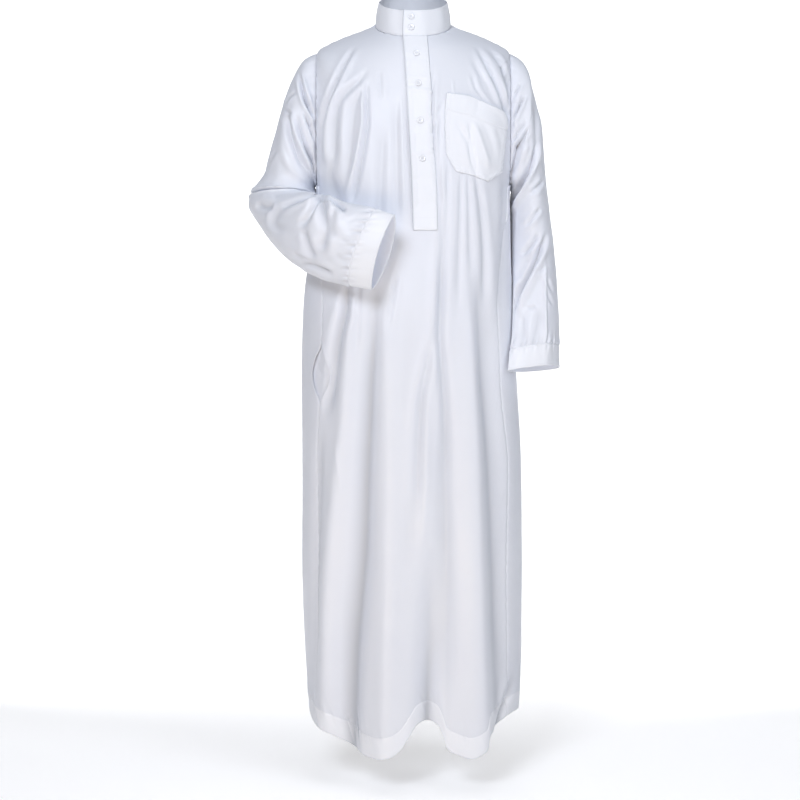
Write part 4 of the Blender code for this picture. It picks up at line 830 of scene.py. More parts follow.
def buildPlacket():
    share, row = np.meshgrid(closeToEdges(placket["columns"], placket["wide"], 0.0009),
                             np.linspace(0, 1, placket["rows"]))
    z = placketTop + (placket["foot"] - placketTop) * row
    x = placketMiddle(z) + (share - 0.5) * placket["wide"]
    top = neckHeight(x) - 0.0012
    z = top + (placket["foot"] - top) * row
    x = placketMiddle(z) + (share - 0.5) * placket["wide"]
    base, normal = onFront(x, z)
    lift = np.maximum(placketLift(x, z), garment["leastLift"])
    groove = rimGroove(share, row, placket["wide"], placket["tall"], placket["stitchIn"])
    toEdge = np.minimum(share, 1 - share) * placket["wide"]
    ripple = 0.0004 * wobble(z, 0.011, 4.0) * np.exp(-(toEdge / 0.006) ** 2)
    inner = base + normal * np.maximum(lift + ripple, garment["leastLift"])[..., None]
    thick = garment["doubled"] + groove
    outer = inner + normal * thick[..., None]
    # its open edge gets a painted shadow line, most where it stands up, and its sewn edge a fainter one
    line = np.exp(-(share * placket["wide"] / 0.0014) ** 2) * (0.6 + 0.4 * ease(-z, 0.17, 0.24))
    far = 0.45 * np.exp(-((1 - share) * placket["wide"] / 0.0010) ** 2)
    piece = makeWall("robe_placket", outer, inner, [doubledCloth], shadeMask=line + far)
    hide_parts("placket")
    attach(piece, "root")
    return outer


pocket = {
    # edges of the pocket: share along the edge, x, z
    "top": ((0, 0.0641, -0.1502), (0.36, 0.1063, -0.1559), (0.57, 0.1313, -0.1655), (0.78, 0.1570, -0.1751),
            (1, 0.1830, -0.1878)),
    "foot": ((0, 0.0622, -0.2672), (0.20, 0.0804, -0.2998), (0.5, 0.1140, -0.3065), (0.76, 0.1425, -0.3170),
             (1, 0.1710, -0.2959)),
    "inner": ((0, 0.0641, -0.1502), (0.28, 0.0608, -0.1828), (0.6, 0.0603, -0.2211), (1, 0.0622, -0.2672)),
    "outer": ((0, 0.1830, -0.1878), (0.31, 0.1803, -0.2211), (0.6, 0.1760, -0.2518), (1, 0.1710, -0.2959)),
    "hemShare": 0.25,
    "wide": 0.118,
    "tall": 0.125,
    "stitchIn": 0.0020,
    "columns": 84,
    "rows": 92,
    "folds": {
        "left trough": (((0.078, -0.200), (0.096, -0.230), (0.106, -0.252), (0.116, -0.300)), (0.005, 0.006),
                (-0.0024, -0.0036), (0.3, 0.4)),
        "middle trough": (((0.104, -0.198), (0.111, -0.245), (0.119, -0.312)), (0.004, 0.006),
                (-0.0034, -0.0050), (0.2, 0.0)),
        "middle ridge": (((0.112, -0.200), (0.128, -0.245), (0.146, -0.298)), (0.006, 0.007),
                (0.0034, 0.0046)),
        "right trough": (((0.126, -0.194), (0.146, -0.235), (0.158, -0.285)), (0.006, 0.007),
                (-0.0014, -0.0016)),
        "corner drag": (((0.156, -0.206), (0.168, -0.240), (0.172, -0.275)), (0.005, 0.005),
                (-0.0014, -0.0014), (0.4, 0.0)),
        "mouth dip": (((0.123, -0.156), (0.121, -0.178), (0.116, -0.200)), (0.006, 0.006),
                (-0.0018, -0.0010)),
        "mouth swell": (((0.100, -0.152), (0.100, -0.168), (0.098, -0.186)), (0.009, 0.008),
                (0.0016, 0.0008)),
        "foot kink": (((0.108, -0.294), (0.113, -0.302), (0.120, -0.308)), (0.005, 0.005),
                (-0.0026, -0.0026)),
    },
}


def pocketPatch(u, v):
    def along(edge, share):
        shares, x, z = np.array(pocket[edge]).T
        return np.stack([np.interp(share, shares, x), np.interp(share, shares, z)], axis=-1)

    top, foot, inner, outer = (along(name, share) for name, share in
                               (("top", u), ("foot", u), ("inner", v), ("outer", v)))
    corners = [np.array(pocket[name][k][1:]) for name, k in (("top", 0), ("top", -1), ("foot", 0), ("foot", -1))]
    u, v = u[..., None], v[..., None]
    flat = ((1 - u) * (1 - v) * corners[0] + u * (1 - v) * corners[1]
            + (1 - u) * v * corners[2] + u * v * corners[3])
    return (1 - v) * top + v * foot + (1 - u) * inner + u * outer - flat


def buildPocket():
    v = np.concatenate([[0, 0.008, 0.02], np.linspace(0.035, 0.965, pocket["rows"]), [0.98, 0.992, 1]])
    u, v = np.meshgrid(closeToEdges(pocket["columns"], pocket["wide"], 0.0009), v)
    place = pocketPatch(u, v)
    x, z = place[..., 0], place[..., 1]
    base, normal = onFront(x, z)
    free = np.clip(4 * u * (1 - u), 0, 1) * (1 - v) ** 1.5
    bag = np.clip(4 * u * (1 - u), 0, 1) ** 0.6 * np.clip(5 * (1 - v), 0, 1)
    lift = garment["laidOn"] + 0.004 * free + foldHeight(pocket["folds"], x, z) * bag
    lift = lift + 0.0016 * bag * ease(v, 0, 0.3)
    # the seam allowance turned under along its sewn edges makes them stand up
    wide, tall = pocket["wide"], pocket["tall"]
    away = np.minimum(np.minimum(u, 1 - u) * wide, (1 - v) * tall)
    lift = lift + 0.0006 * np.exp(-((away - 0.0050) / 0.0030) ** 2)
    lift = lift + 0.0004 * wobble(v * tall + u * wide, 0.010, 6.0) * np.exp(-(away / 0.007) ** 2)
    fromStitch = (v - pocket["hemShare"]) * tall
    hemGroove = -0.0006 * np.exp(-(fromStitch / 0.0009) ** 2)
    thick = garment["cloth"] + (garment["doubled"] - garment["cloth"]) * (1 - ease(fromStitch, -0.0012, 0.0012))
    thick = thick + 0.0005 * np.exp(-(away / 0.0055) ** 4)
    thick = thick - 0.0005 * np.exp(-((away - pocket["stitchIn"]) / 0.0009) ** 2)
    inner = base + normal * np.maximum(lift, garment["leastLift"])[..., None]
    outer = inner + normal * (thick + hemGroove)[..., None]
    piece = makeWall("robe_chest_pocket", outer, inner, [doubledCloth])
    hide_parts("chest_pocket")
    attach(piece, "root")
    return outer


placketGrid = buildPlacket()
pocketGrid = buildPocket()


def buildFacing():
    # the pocket's inner cloth, which shows between the parted lips of the side seam
    top, foot = stationAtSeam(-0.560), stationAtSeam(-0.815)
    angle, station = np.meshgrid(np.radians(np.linspace(144.0, 161.0, 36)), np.linspace(top, foot, 90))
    normal = bodyNormals(angle, station)
    hollow = mouthPart(station) * np.sin((angle - angle[0, 0]) / np.ptp(angle) * np.pi) ** 2
    deeper = 1 + 0.8 * ease(angle, np.radians(150), np.radians(154))
    crumple = 0.0010 * wobble(station, 0.034, 3.0) * wobble(angle, 0.11, 1.0) * hollow
    depth = garment["cloth"] + 0.0012 * deeper + 0.0040 * hollow + crumple
    outer = bodyFace(angle, station) - normal * depth[..., None]
    piece = makeWall("robe_pocket_facing", outer, outer - normal * garment["cloth"], [singleCloth])
    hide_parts("side_pocket_facing")
    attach(piece, "root")


buildFacing()
print("placket, pocket and facing made")

# Collar

collar = {
    "height": 0.046,
    "overlap": 0.034,       # the buttoned lap of its ends
    "lean": 0.009,          # how far it draws in from its seam to its top
    "thick": 0.0018,
    "buttonX": -0.004,
    "buttonHeights": (0.0345, 0.0150),
    "stitchIn": 0.0032,
}


def collarRing(turn, height):
    lean = collar["lean"] * height / collar["height"]
    x = (bodyTable["right"][0] - lean * 0.8) * np.cos(turn)
    y = -(bodyTable["front"][0] - lean) * np.sin(turn)
    tilt = bodyTable["backZ"][0] / bodyTable["back"][0]
    return np.stack([x, y, y * tilt + 0.0005 + height], axis=-1)


def lapLift(turn, start):
    fromEnd = (start - turn) * bodyTable["front"][0]
    return (0.0026 * (1 - ease(fromEnd, collar["overlap"] + 0.002, collar["overlap"] + 0.030))
            + 0.0014 * (1 - ease(fromEnd, 0, 0.010)))


collarStart = math.acos((float(placketMiddle(-0.034)) - placket["wide"] / 2) / bodyTable["right"][0])


def collarFace(turn, height):
    outward = unit(np.stack([np.cos(turn), -np.sin(turn), 0.16 + 0 * turn], axis=-1))
    fromEnd = (collarStart - turn) * bodyTable["front"][0]
    soft = 0.0009 * wobble(turn * bodyTable["front"][0], 0.060, 2.0)
    soft = soft * ease(height, 0.004, 0.020) * ease(fromEnd, 0.03, 0.08)
    belly = 0.0012 * np.sin(np.pi * np.clip(height / collar["height"], 0, 1))
    pull = -0.0008 * np.exp(-((fromEnd - 0.020) / 0.010) ** 2) * np.sin(np.pi * height / collar["height"])
    out = lapLift(turn, collarStart) + (soft + belly + pull)
    return collarRing(turn, height) + outward * out[..., None], outward


def buildCollar():
    lap = collar["overlap"] / bodyTable["front"][0]
    turns = collarStart - closeToEdges(330, 0.52, 0.0009) * (2 * np.pi + lap)
    heights = closeToEdges(16, collar["height"], 0.0008) * collar["height"]
    turn, height = np.meshgrid(turns, heights)
    outer, outward = collarFace(turn, height)
    fromStart, fromLast = (away * bodyTable["front"][0] for away in (collarStart - turn, turn - turns[-1]))
    away = np.minimum(np.minimum(collar["height"] - height, height + 1), np.minimum(fromStart, fromLast))
    groove = -0.0005 * np.exp(-((away - collar["stitchIn"]) / 0.0008) ** 2)
    seam = -0.0005 * np.exp(-(height / 0.0012) ** 2)
    inner = outer - outward * collar["thick"]
    outer = outer + outward * (groove + seam)[..., None]
    # a painted shadow line along the lap's free end
    lapEdgeShadow = 0.8 * np.exp(-(fromStart / 0.0013) ** 2)
    piece = makeWall("robe_collar", outer, inner, [doubledCloth], shadeMask=lapEdgeShadow)
    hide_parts("collar")
    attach(piece, "root")
    return outer


collarGrid = buildCollar()
print("collar made")

# Sleeves

sleeveColumns = ("outerX", "outerY", "outerZ", "innerX", "innerY", "innerZ",
                 "front", "back", "outerPower", "innerPower", "rise")
# rise is the share that is kept of the upward lean of a ring's forward side
hangingSections = (
    (0.1903, 0.000, -0.052, 0.1924, 0.000, -0.315, 0.066, 0.066, 2.2, 2.2, 1.0),
    (0.2120, 0.000, -0.066, 0.1945, 0.000, -0.316, 0.070, 0.070, 2.2, 2.2, 1.0),
    (0.2285, 0.002, -0.108, 0.1955, 0.002, -0.321, 0.072, 0.073, 2.2, 2.1, 1.0),
    (0.2450, 0.004, -0.165, 0.1960, 0.004, -0.330, 0.071, 0.073, 2.2, 2.0, 1.0),
    (0.2560, 0.008, -0.235, 0.1950, 0.006, -0.346, 0.068, 0.072, 2.2, 1.9, 1.0),
    (0.2630, 0.012, -0.300, 0.1950, 0.006, -0.372, 0.065, 0.068, 2.1, 1.8, 1.0),
    (0.2700, 0.016, -0.362, 0.1955, 0.002, -0.410, 0.062, 0.062, 2.0, 1.7, 1.0),
    (0.2780, 0.018, -0.430, 0.1965, -0.006, -0.460, 0.058, 0.056, 1.9, 1.7, 1.0),
    (0.2820, 0.014, -0.490, 0.1980, -0.022, -0.510, 0.055, 0.049, 1.8, 1.6, 1.0),
    (0.2850, 0.006, -0.550, 0.1970, -0.044, -0.560, 0.051, 0.041, 1.7, 1.5, 1.0),
    (0.2860, -0.004, -0.605, 0.1940, -0.064, -0.610, 0.048, 0.034, 1.7, 1.5, 1.0),
    (0.2865, -0.012, -0.650, 0.1875, -0.084, -0.652, 0.044, 0.030, 1.6, 1.5, 1.0),
    (0.2880, -0.018, -0.678, 0.1840, -0.094, -0.680, 0.042, 0.028, 1.6, 1.5, 1.0),
)
bentSections = (
    (-0.1903, 0.000, -0.052, -0.1924, 0.000, -0.315, 0.066, 0.066, 2.2, 2.2, 1.0),
    (-0.2130, 0.000, -0.064, -0.1950, -0.001, -0.317, 0.070, 0.070, 2.2, 2.2, 1.0),
    (-0.2360, 0.002, -0.100, -0.1955, -0.003, -0.320, 0.072, 0.073, 2.2, 2.1, 1.0),
    (-0.2580, 0.006, -0.160, -0.1945, -0.007, -0.324, 0.070, 0.073, 2.2, 2.0, 0.8),
    (-0.2740, 0.010, -0.222, -0.1940, -0.014, -0.328, 0.067, 0.072, 2.2, 1.9, 0.5),
    (-0.2900, 0.014, -0.285, -0.1935, -0.024, -0.331, 0.063, 0.069, 2.1, 1.9, 0.2),
    (-0.3170, 0.010, -0.334, -0.1935, -0.044, -0.333, 0.061, 0.060, 2.0, 1.9, 0.1),
    (-0.3150, 0.000, -0.362, -0.1940, -0.066, -0.335, 0.060, 0.054, 2.0, 1.9, 0.1),
    (-0.2930, -0.020, -0.398, -0.1970, -0.086, -0.337, 0.058, 0.046, 2.0, 1.9, 0.4),
    (-0.2650, -0.048, -0.436, -0.1870, -0.110, -0.340, 0.055, 0.039, 2.0, 1.9, 0.8),
    (-0.2320, -0.084, -0.470, -0.1720, -0.135, -0.345, 0.052, 0.033, 2.0, 1.9, 1.0),
    (-0.1930, -0.119, -0.496, -0.1540, -0.156, -0.352, 0.047, 0.030, 2.0, 1.9, 1.0),
    (-0.1530, -0.152, -0.513, -0.1240, -0.180, -0.364, 0.042, 0.030, 2.0, 1.9, 1.0),
    (-0.1150, -0.180, -0.521, -0.0800, -0.202, -0.374, 0.032, 0.031, 1.8, 1.7, 1.0),
    (-0.0790, -0.200, -0.528, -0.0370, -0.219, -0.390, 0.024, 0.033, 1.6, 1.6, 1.0),
)
hangingFrontFolds = {
    "head line": (((0.218, -0.142), (0.210, -0.158), (0.200, -0.178), (0.186, -0.212)), (0.003, 0.0035),
            (-0.006, -0.014), (0.3, 0.6)),
    "head line 2": (((0.210, -0.120), (0.202, -0.134), (0.186, -0.162)), (0.003, 0.003), (-0.004, -0.009),
            (0.3, 0.6)),
    "fan 1": (((0.222, -0.195), (0.208, -0.213), (0.188, -0.242)), (0.003, 0.004), (-0.003, -0.007),
            (0.4, 0.4)),
    "fan 2": (((0.226, -0.208), (0.212, -0.232), (0.190, -0.262)), (0.003, 0.004), (-0.004, -0.008),
            (0.4, 0.4)),
    "wedge": (((0.212, -0.228), (0.203, -0.250), (0.195, -0.275), (0.186, -0.318)), (0.005, 0.007),
            (-0.010, -0.018), (0.2, 0.5)),
    "outer trough": (((0.236, -0.150), (0.240, -0.185), (0.240, -0.240), (0.232, -0.285)), (0.006, 0.006),
            (-0.004, -0.003), (0.3, 0.3)),
    "inner ridge": (((0.226, -0.230), (0.216, -0.270), (0.204, -0.320)), (0.005, 0.006), (0.003, 0.004)),
    "armpit line": (((0.247, -0.225), (0.238, -0.258), (0.226, -0.289), (0.210, -0.321), (0.184, -0.368)),
            (0.0035, 0.0045), (-0.006, -0.018), (0.2, 0.6)),
    "drag 1": (((0.258, -0.304), (0.246, -0.320), (0.226, -0.338)), (0.003, 0.004), (-0.005, -0.004),
            (0.3, 0.5)),
    "drag 2": (((0.250, -0.362), (0.238, -0.378), (0.220, -0.400)), (0.003, 0.004), (-0.005, -0.004),
            (0.3, 0.5)),
    "drag 3": (((0.248, -0.410), (0.234, -0.432), (0.212, -0.458)), (0.004, 0.005), (-0.005, -0.006),
            (0.3, 0.4)),
    "upper swell": (((0.250, -0.320), (0.236, -0.370), (0.216, -0.420)), (0.012, 0.013), (0.003, 0.003)),
    "elbow line": (((0.266, -0.402), (0.256, -0.430), (0.242, -0.460), (0.222, -0.500), (0.205, -0.535),
            (0.190, -0.575)), (0.004, 0.006), (-0.007, -0.020), (0.2, 0.6)),
    "elbow hollow": (((0.236, -0.452), (0.220, -0.476), (0.204, -0.510)), (0.007, 0.008), (-0.004, -0.006),
            (0.2, 0.2)),
    "below elbow": (((0.262, -0.474), (0.252, -0.484), (0.238, -0.492)), (0.003, 0.004), (-0.003, -0.002),
            (0.3, 0.4)),
    "face crease": (((0.2600, -0.455), (0.2590, -0.520), (0.2590, -0.590), (0.2605, -0.665)), (0.005, 0.006),
            (0.004, 0.005), (0, 0), 0.45),
    "face wrinkle 1": (((0.262, -0.500), (0.268, -0.516), (0.276, -0.530)), (0.003, 0.003),
            (-0.0025, -0.0020), (0.4, 0.4)),
    "face wrinkle 2": (((0.262, -0.530), (0.269, -0.545), (0.276, -0.556)), (0.003, 0.003),
            (-0.0022, -0.0018), (0.4, 0.4)),
    "forearm nick": (((0.240, -0.556), (0.232, -0.559), (0.222, -0.560)), (0.003, 0.003), (-0.0024, -0.0016),
            (0.4, 0.4)),
    "forearm trough": (((0.248, -0.560), (0.240, -0.604), (0.236, -0.640)), (0.006, 0.006),
            (-0.0030, -0.0030), (0.3, 0.3)),
    "forearm trough 2": (((0.214, -0.570), (0.214, -0.604), (0.216, -0.640)), (0.006, 0.006),
            (-0.0025, -0.0025), (0.3, 0.3)),
}
hangingBackFolds = {
    "armpit trough": (((0.250, -0.180), (0.240, -0.222), (0.222, -0.272), (0.186, -0.350)), (0.005, 0.008),
            (-0.004, -0.010), (0.7, 0.3)),
    "armpit fan": (((0.232, -0.160), (0.220, -0.200), (0.206, -0.240), (0.186, -0.290)), (0.004, 0.006),
            (-0.003, -0.006), (0.5, 0.4)),
    "head line": (((0.214, -0.112), (0.204, -0.140), (0.186, -0.180)), (0.003, 0.004), (-0.003, -0.005),
            (0.5, 0.3)),
    "elbow ridge": (((0.264, -0.380), (0.240, -0.420), (0.205, -0.446)), (0.011, 0.011), (0.006, 0.004)),
    "elbow trough": (((0.276, -0.425), (0.262, -0.444), (0.240, -0.458), (0.200, -0.466)), (0.005, 0.006),
            (-0.008, -0.006), (0.5, 0.5)),
    "second elbow trough": (((0.278, -0.396), (0.260, -0.402), (0.236, -0.408), (0.212, -0.410)),
            (0.004, 0.006), (-0.006, -0.003), (0.4, 0.5)),
    "third elbow trough": (((0.280, -0.452), (0.266, -0.476), (0.246, -0.494)), (0.004, 0.005),
            (-0.005, -0.002), (0.4, 0.5)),
    "forearm drag": (((0.270, -0.520), (0.262, -0.580), (0.256, -0.650)), (0.006, 0.007), (-0.003, -0.003),
            (0.3, 0.3)),
    "forearm drag 2": (((0.240, -0.520), (0.236, -0.580), (0.232, -0.650)), (0.005, 0.006), (-0.002, -0.003),
            (0.3, 0.3)),
}
bentFrontFolds = {
    "head line": (((-0.226, -0.090), (-0.220, -0.120), (-0.212, -0.152), (-0.197, -0.181), (-0.176, -0.222)),
            (0.003, 0.0035), (-0.007, -0.017), (0.3, 0.5)),
    "second line": (((-0.214, -0.176), (-0.205, -0.198), (-0.194, -0.224), (-0.178, -0.262)), (0.003, 0.0035),
            (-0.005, -0.013), (0.4, 0.5)),
    "third line": (((-0.230, -0.180), (-0.217, -0.226), (-0.201, -0.266), (-0.180, -0.312)), (0.0035, 0.004),
            (-0.005, -0.013), (0.4, 0.3)),
    "outer trough": (((-0.248, -0.168), (-0.245, -0.198), (-0.238, -0.230), (-0.224, -0.266),
            (-0.204, -0.300)), (0.005, 0.005), (-0.009, -0.007), (0.3, 0.6)),
    "head ridge": (((-0.214, -0.110), (-0.205, -0.140), (-0.192, -0.165)), (0.004, 0.005), (0.002, 0.003)),
    "lower ridge": (((-0.260, -0.205), (-0.253, -0.258), (-0.234, -0.292), (-0.196, -0.320)), (0.007, 0.009),
            (0.003, 0.005)),
    "outer nick": (((-0.252, -0.160), (-0.243, -0.148), (-0.228, -0.138)), (0.0025, 0.003), (-0.003, -0.002),
            (0.5, 0.5)),
    "outer nick 2": (((-0.254, -0.170), (-0.246, -0.176), (-0.236, -0.184)), (0.0025, 0.003),
            (-0.0025, -0.002), (0.5, 0.5)),
    "outer nick 3": (((-0.266, -0.250), (-0.280, -0.268), (-0.290, -0.290)), (0.003, 0.003), (-0.002, -0.002),
            (0.5, 0.5)),
    "elbow hollow": (((-0.308, -0.356), (-0.288, -0.364), (-0.266, -0.366)), (0.008, 0.008), (-0.007, -0.006),
            (0.1, 0.3)),
    "hollow's edge": (((-0.262, -0.356), (-0.278, -0.378), (-0.279, -0.402), (-0.256, -0.426)),
            (0.005, 0.007), (0.003, 0.003)),
    "inside the edge": (((-0.250, -0.364), (-0.264, -0.384), (-0.264, -0.402), (-0.244, -0.420)),
            (0.007, 0.009), (-0.004, -0.003)),
    "crook long trough": (((-0.178, -0.347), (-0.200, -0.352), (-0.224, -0.358), (-0.262, -0.372)),
            (0.003, 0.006), (-0.010, -0.004), (0.3, 0.5)),
    "crook outer trough": (((-0.170, -0.335), (-0.184, -0.362), (-0.197, -0.385), (-0.218, -0.412)),
            (0.004, 0.008), (-0.012, -0.006), (0.3, 0.6)),
    "crook inner trough": (((-0.172, -0.330), (-0.170, -0.372), (-0.166, -0.405), (-0.170, -0.432),
            (-0.182, -0.468)), (0.005, 0.010), (-0.013, -0.006), (0.3, 0.6)),
    "crook small trough": (((-0.210, -0.410), (-0.202, -0.434), (-0.195, -0.455), (-0.184, -0.474)),
            (0.005, 0.007), (-0.005, -0.005), (0.5, 0.4)),
    "crook pocket": (((-0.170, -0.354), (-0.152, -0.362), (-0.138, -0.371), (-0.127, -0.385)), (0.003, 0.005),
            (-0.006, -0.011), (0.2, 0.1)),
    "forearm trough": (((-0.150, -0.372), (-0.152, -0.400), (-0.148, -0.440)), (0.006, 0.009),
            (-0.007, -0.004), (0.3, 0.5)),
    "forearm bulge": (((-0.285, -0.385), (-0.251, -0.432), (-0.202, -0.470)), (0.016, 0.016), (0.004, 0.005)),
    "under drag": (((-0.216, -0.474), (-0.186, -0.484), (-0.150, -0.500)), (0.004, 0.005), (-0.006, -0.007),
            (0.4, 0.3)),
    "under drag 2": (((-0.232, -0.452), (-0.206, -0.468), (-0.172, -0.480)), (0.004, 0.004), (-0.003, -0.003),
            (0.4, 0.4)),
    "cuff drag": (((-0.098, -0.388), (-0.112, -0.398), (-0.128, -0.404)), (0.004, 0.004), (-0.003, -0.002),
            (0.4, 0.4)),
    "cuff drag 2": (((-0.112, -0.446), (-0.124, -0.440), (-0.138, -0.430)), (0.004, 0.005), (-0.004, -0.002),
            (0.4, 0.4)),
    "cuff drag 3": (((-0.120, -0.482), (-0.132, -0.472), (-0.150, -0.460)), (0.004, 0.005), (-0.004, -0.002),
            (0.4, 0.4)),
}
# The elbow's crease and the strokes beside it, on the sleeve's own net: turns in degrees, section numbers,
# half widths in sections, and heights, each at the outer end and at the crook's end.
elbowCreases = {
    "outer stroke": ((-24, 74), (6.06, 6.03), (0.050, 0.050), (-0.009, -0.011)),
    "inner stroke": ((50, 176), (5.97, 6.06), (0.045, 0.100), (-0.010, -0.018)),
    "top stroke": ((116, 166), (5.86, 5.98), (0.040, 0.060), (-0.007, -0.008)),
    "small stroke": ((16, 60), (6.17, 6.15), (0.035, 0.035), (-0.006, -0.005)),
    "swell above": ((-10, 170), (5.80, 5.78), (0.110, 0.120), (0.002, 0.004)),
    "swell below": ((0, 150), (6.30, 6.26), (0.110, 0.120), (0.003, 0.003)),
}
bentBackFolds = {
    "elbow trough": (((-0.330, -0.318), (-0.300, -0.318), (-0.262, -0.322), (-0.200, -0.334)), (0.005, 0.006),
            (-0.009, -0.008), (0.5, 0.5)),
    "elbow ridge": (((-0.325, -0.345), (-0.270, -0.362), (-0.215, -0.370)), (0.012, 0.012), (0.006, 0.005)),
    "second elbow trough": (((-0.334, -0.348), (-0.306, -0.366), (-0.276, -0.384), (-0.236, -0.398)),
            (0.005, 0.006), (-0.007, -0.005), (0.4, 0.5)),
    "third elbow trough": (((-0.320, -0.290), (-0.286, -0.290), (-0.246, -0.300)), (0.004, 0.006),
            (-0.005, -0.004), (0.4, 0.4)),
    "blade drag": (((-0.240, -0.100), (-0.226, -0.160), (-0.208, -0.230), (-0.184, -0.310)), (0.005, 0.007),
            (-0.005, -0.009), (0.4, 0.6)),
    "blade drag 2": (((-0.262, -0.150), (-0.248, -0.210), (-0.224, -0.270), (-0.186, -0.330)), (0.005, 0.007),
            (-0.004, -0.008), (0.5, 0.5)),
    "under drag": (((-0.300, -0.400), (-0.270, -0.430), (-0.230, -0.455)), (0.005, 0.006), (-0.004, -0.003),
            (0.4, 0.4)),
}


def armholeCurve(side, turns):
    # points of the armhole seam: turn 0 is at the shoulder, a quarter in front, a half below
    rows = spaced(shoulderPoint, underarm, 96, ends=0.6)
    front, back = armholeAngle(rows, side), armholeAngle(rows, side, behind=True)
    low = np.linspace(front[-1], -back[-1], 9)[1:-1]
    if side == "left":
        edges = [bodyFace(np.pi - front, rows), bodyFace(np.pi - low, np.full(7, underarm)),
                 bodyFace(np.pi + back, rows)[::-1]]
    else:
        edges = [bodyFace(front, rows), bodyFace(low, np.full(7, underarm)), bodyFace(-back, rows)[::-1]]
    line = np.concatenate(edges)
    middle, high = (line[:, 2].max() + line[:, 2].min()) / 2, np.ptp(line[:, 2]) / 2
    turn = np.unwrap(np.arctan2(-line[:, 1] / np.abs(line[:, 1]).max(), (line[:, 2] - middle) / high))
    turn -= turn[0]
    order = np.argsort(turn)
    return np.stack([np.interp(turns, turn[order], line[order, k]) for k in range(3)], axis=-1)


def rounded(value, power):
    return np.sign(value) * np.abs(value) ** (2 / power)


class Sleeve:
    def __init__(self, side, sections, folds, creases):
        self.side, self.folds, self.creases = side, folds, creases
        self.table = dict(zip(sleeveColumns, np.array(sections).T))
        self.knots = np.arange(len(sections), dtype=float)
        self.out = 1.0 if side == "right" else -1.0

    def size(self, column, t):
        return monotone(self.knots, self.table[column], t)

    def rail(self, which, t):
        return np.stack([self.size(f"{which}{axis}", t) for axis in "XYZ"], axis=-1)

    def ring(self, turn, t):
        outer, inner = self.rail("outer", t), self.rail("inner", t)
        ahead = (self.rail("outer", t + 0.05) + self.rail("inner", t + 0.05)
                 - self.rail("outer", t - 0.05) - self.rail("inner", t - 0.05))
        across = outer - inner
        forward = unit(np.cross(across, ahead)) * -self.out
        forward[..., 2] *= self.size("rise", t)
        forward = unit(forward)
        cosine, sine = np.cos(turn), np.sin(turn)
        power = np.where(cosine > 0, self.size("outerPower", t), self.size("innerPower", t))
        deep = np.where(sine > 0, self.size("front", t), self.size("back", t))
        return ((outer + inner) / 2 + across * (rounded(cosine, power) / 2)[..., None]
                + forward * (rounded(sine, power) * deep)[..., None])

    def plain(self, turn, t):
        seam = armholeCurve(self.side, np.mod(turn, 2 * np.pi)) - np.array([self.out * garment["tuck"], 0, 0])
        return self.ring(turn, t) + (seam - self.ring(turn, 0 * t)) * (1 - ease(t, 0.0, 1.6))[..., None]

    def relief(self, points, turn, t):
        facing, (front, back) = np.sin(turn), self.folds
        x, z = points[..., 0], points[..., 2]
        total = (foldHeight(front, x, z) * ease(facing, -0.15, 0.25)
                 + foldHeight(back, x, z) * ease(-facing, 0.05, 0.45))
        for turns, sections, wide, high in self.creases.values():
            share = (np.degrees(np.mod(turn + 0.7, 2 * np.pi) - 0.7) - turns[0]) / (turns[1] - turns[0])
            away = (t - np.interp(share, (0, 1), sections)) / np.interp(share, (0, 1), wide)
            ends = ease(share, 0, 0.2) * (1 - ease(share, 0.88, 1))
            total += np.interp(share, (0, 1), high) * np.exp(-away ** 2) * ends
        last = self.knots[-1]
        return total * ease(t, 0.10, 1.1) * (1 - ease(t, last - 2.0, last - 1.0))

    def face(self, turn, t):
        points = self.plain(turn, t)
        folded = points + self.normalOf(self.plain, turn, t) * self.relief(points, turn, t)[..., None]
        # above the underarm the sleeve stays outside the armhole's plane
        inPlane = garment["armholeX"] - garment["tuck"] * (1 - ease(t, 0, 0.05))
        least = np.where(folded[..., 2] > garment["armholeFoot"], inPlane, 0)
        folded[..., 0] = self.out * np.maximum(self.out * folded[..., 0], least)
        return folded

    def normalOf(self, surface, turn, t):
        t = np.clip(t, 0.003, self.knots[-1] - 0.003)
        small = 1e-3
        along = surface(turn, t + small) - surface(turn, t - small)
        across = surface(turn + small, t) - surface(turn - small, t)
        return unit(np.cross(across, along)) * self.out

    def walls(self, turn, t):
        outer = self.face(turn, t)
        normal = gridNormals(outer, tube=True)
        normal *= np.sign((normal * self.normalOf(self.plain, turn, t)).sum())
        # at the armhole the wall's thickness lies in the seam's plane, clear of the body
        share = (1 - ease(t, 0.0, 0.9))[..., None]
        return outer, unit(normal * (1 - share) + unit(normal * np.array([0, 1, 1])) * share)

    def cuffStart(self):
        t = np.linspace(self.knots[-1] - 2, self.knots[-1], 200)
        middle = (self.rail("outer", t) + self.rail("inner", t)) / 2
        left = np.cumsum(np.linalg.norm(np.diff(middle[::-1], axis=0), axis=1))
        return t[::-1][1:][np.searchsorted(left, garment["cuffDepth"])]


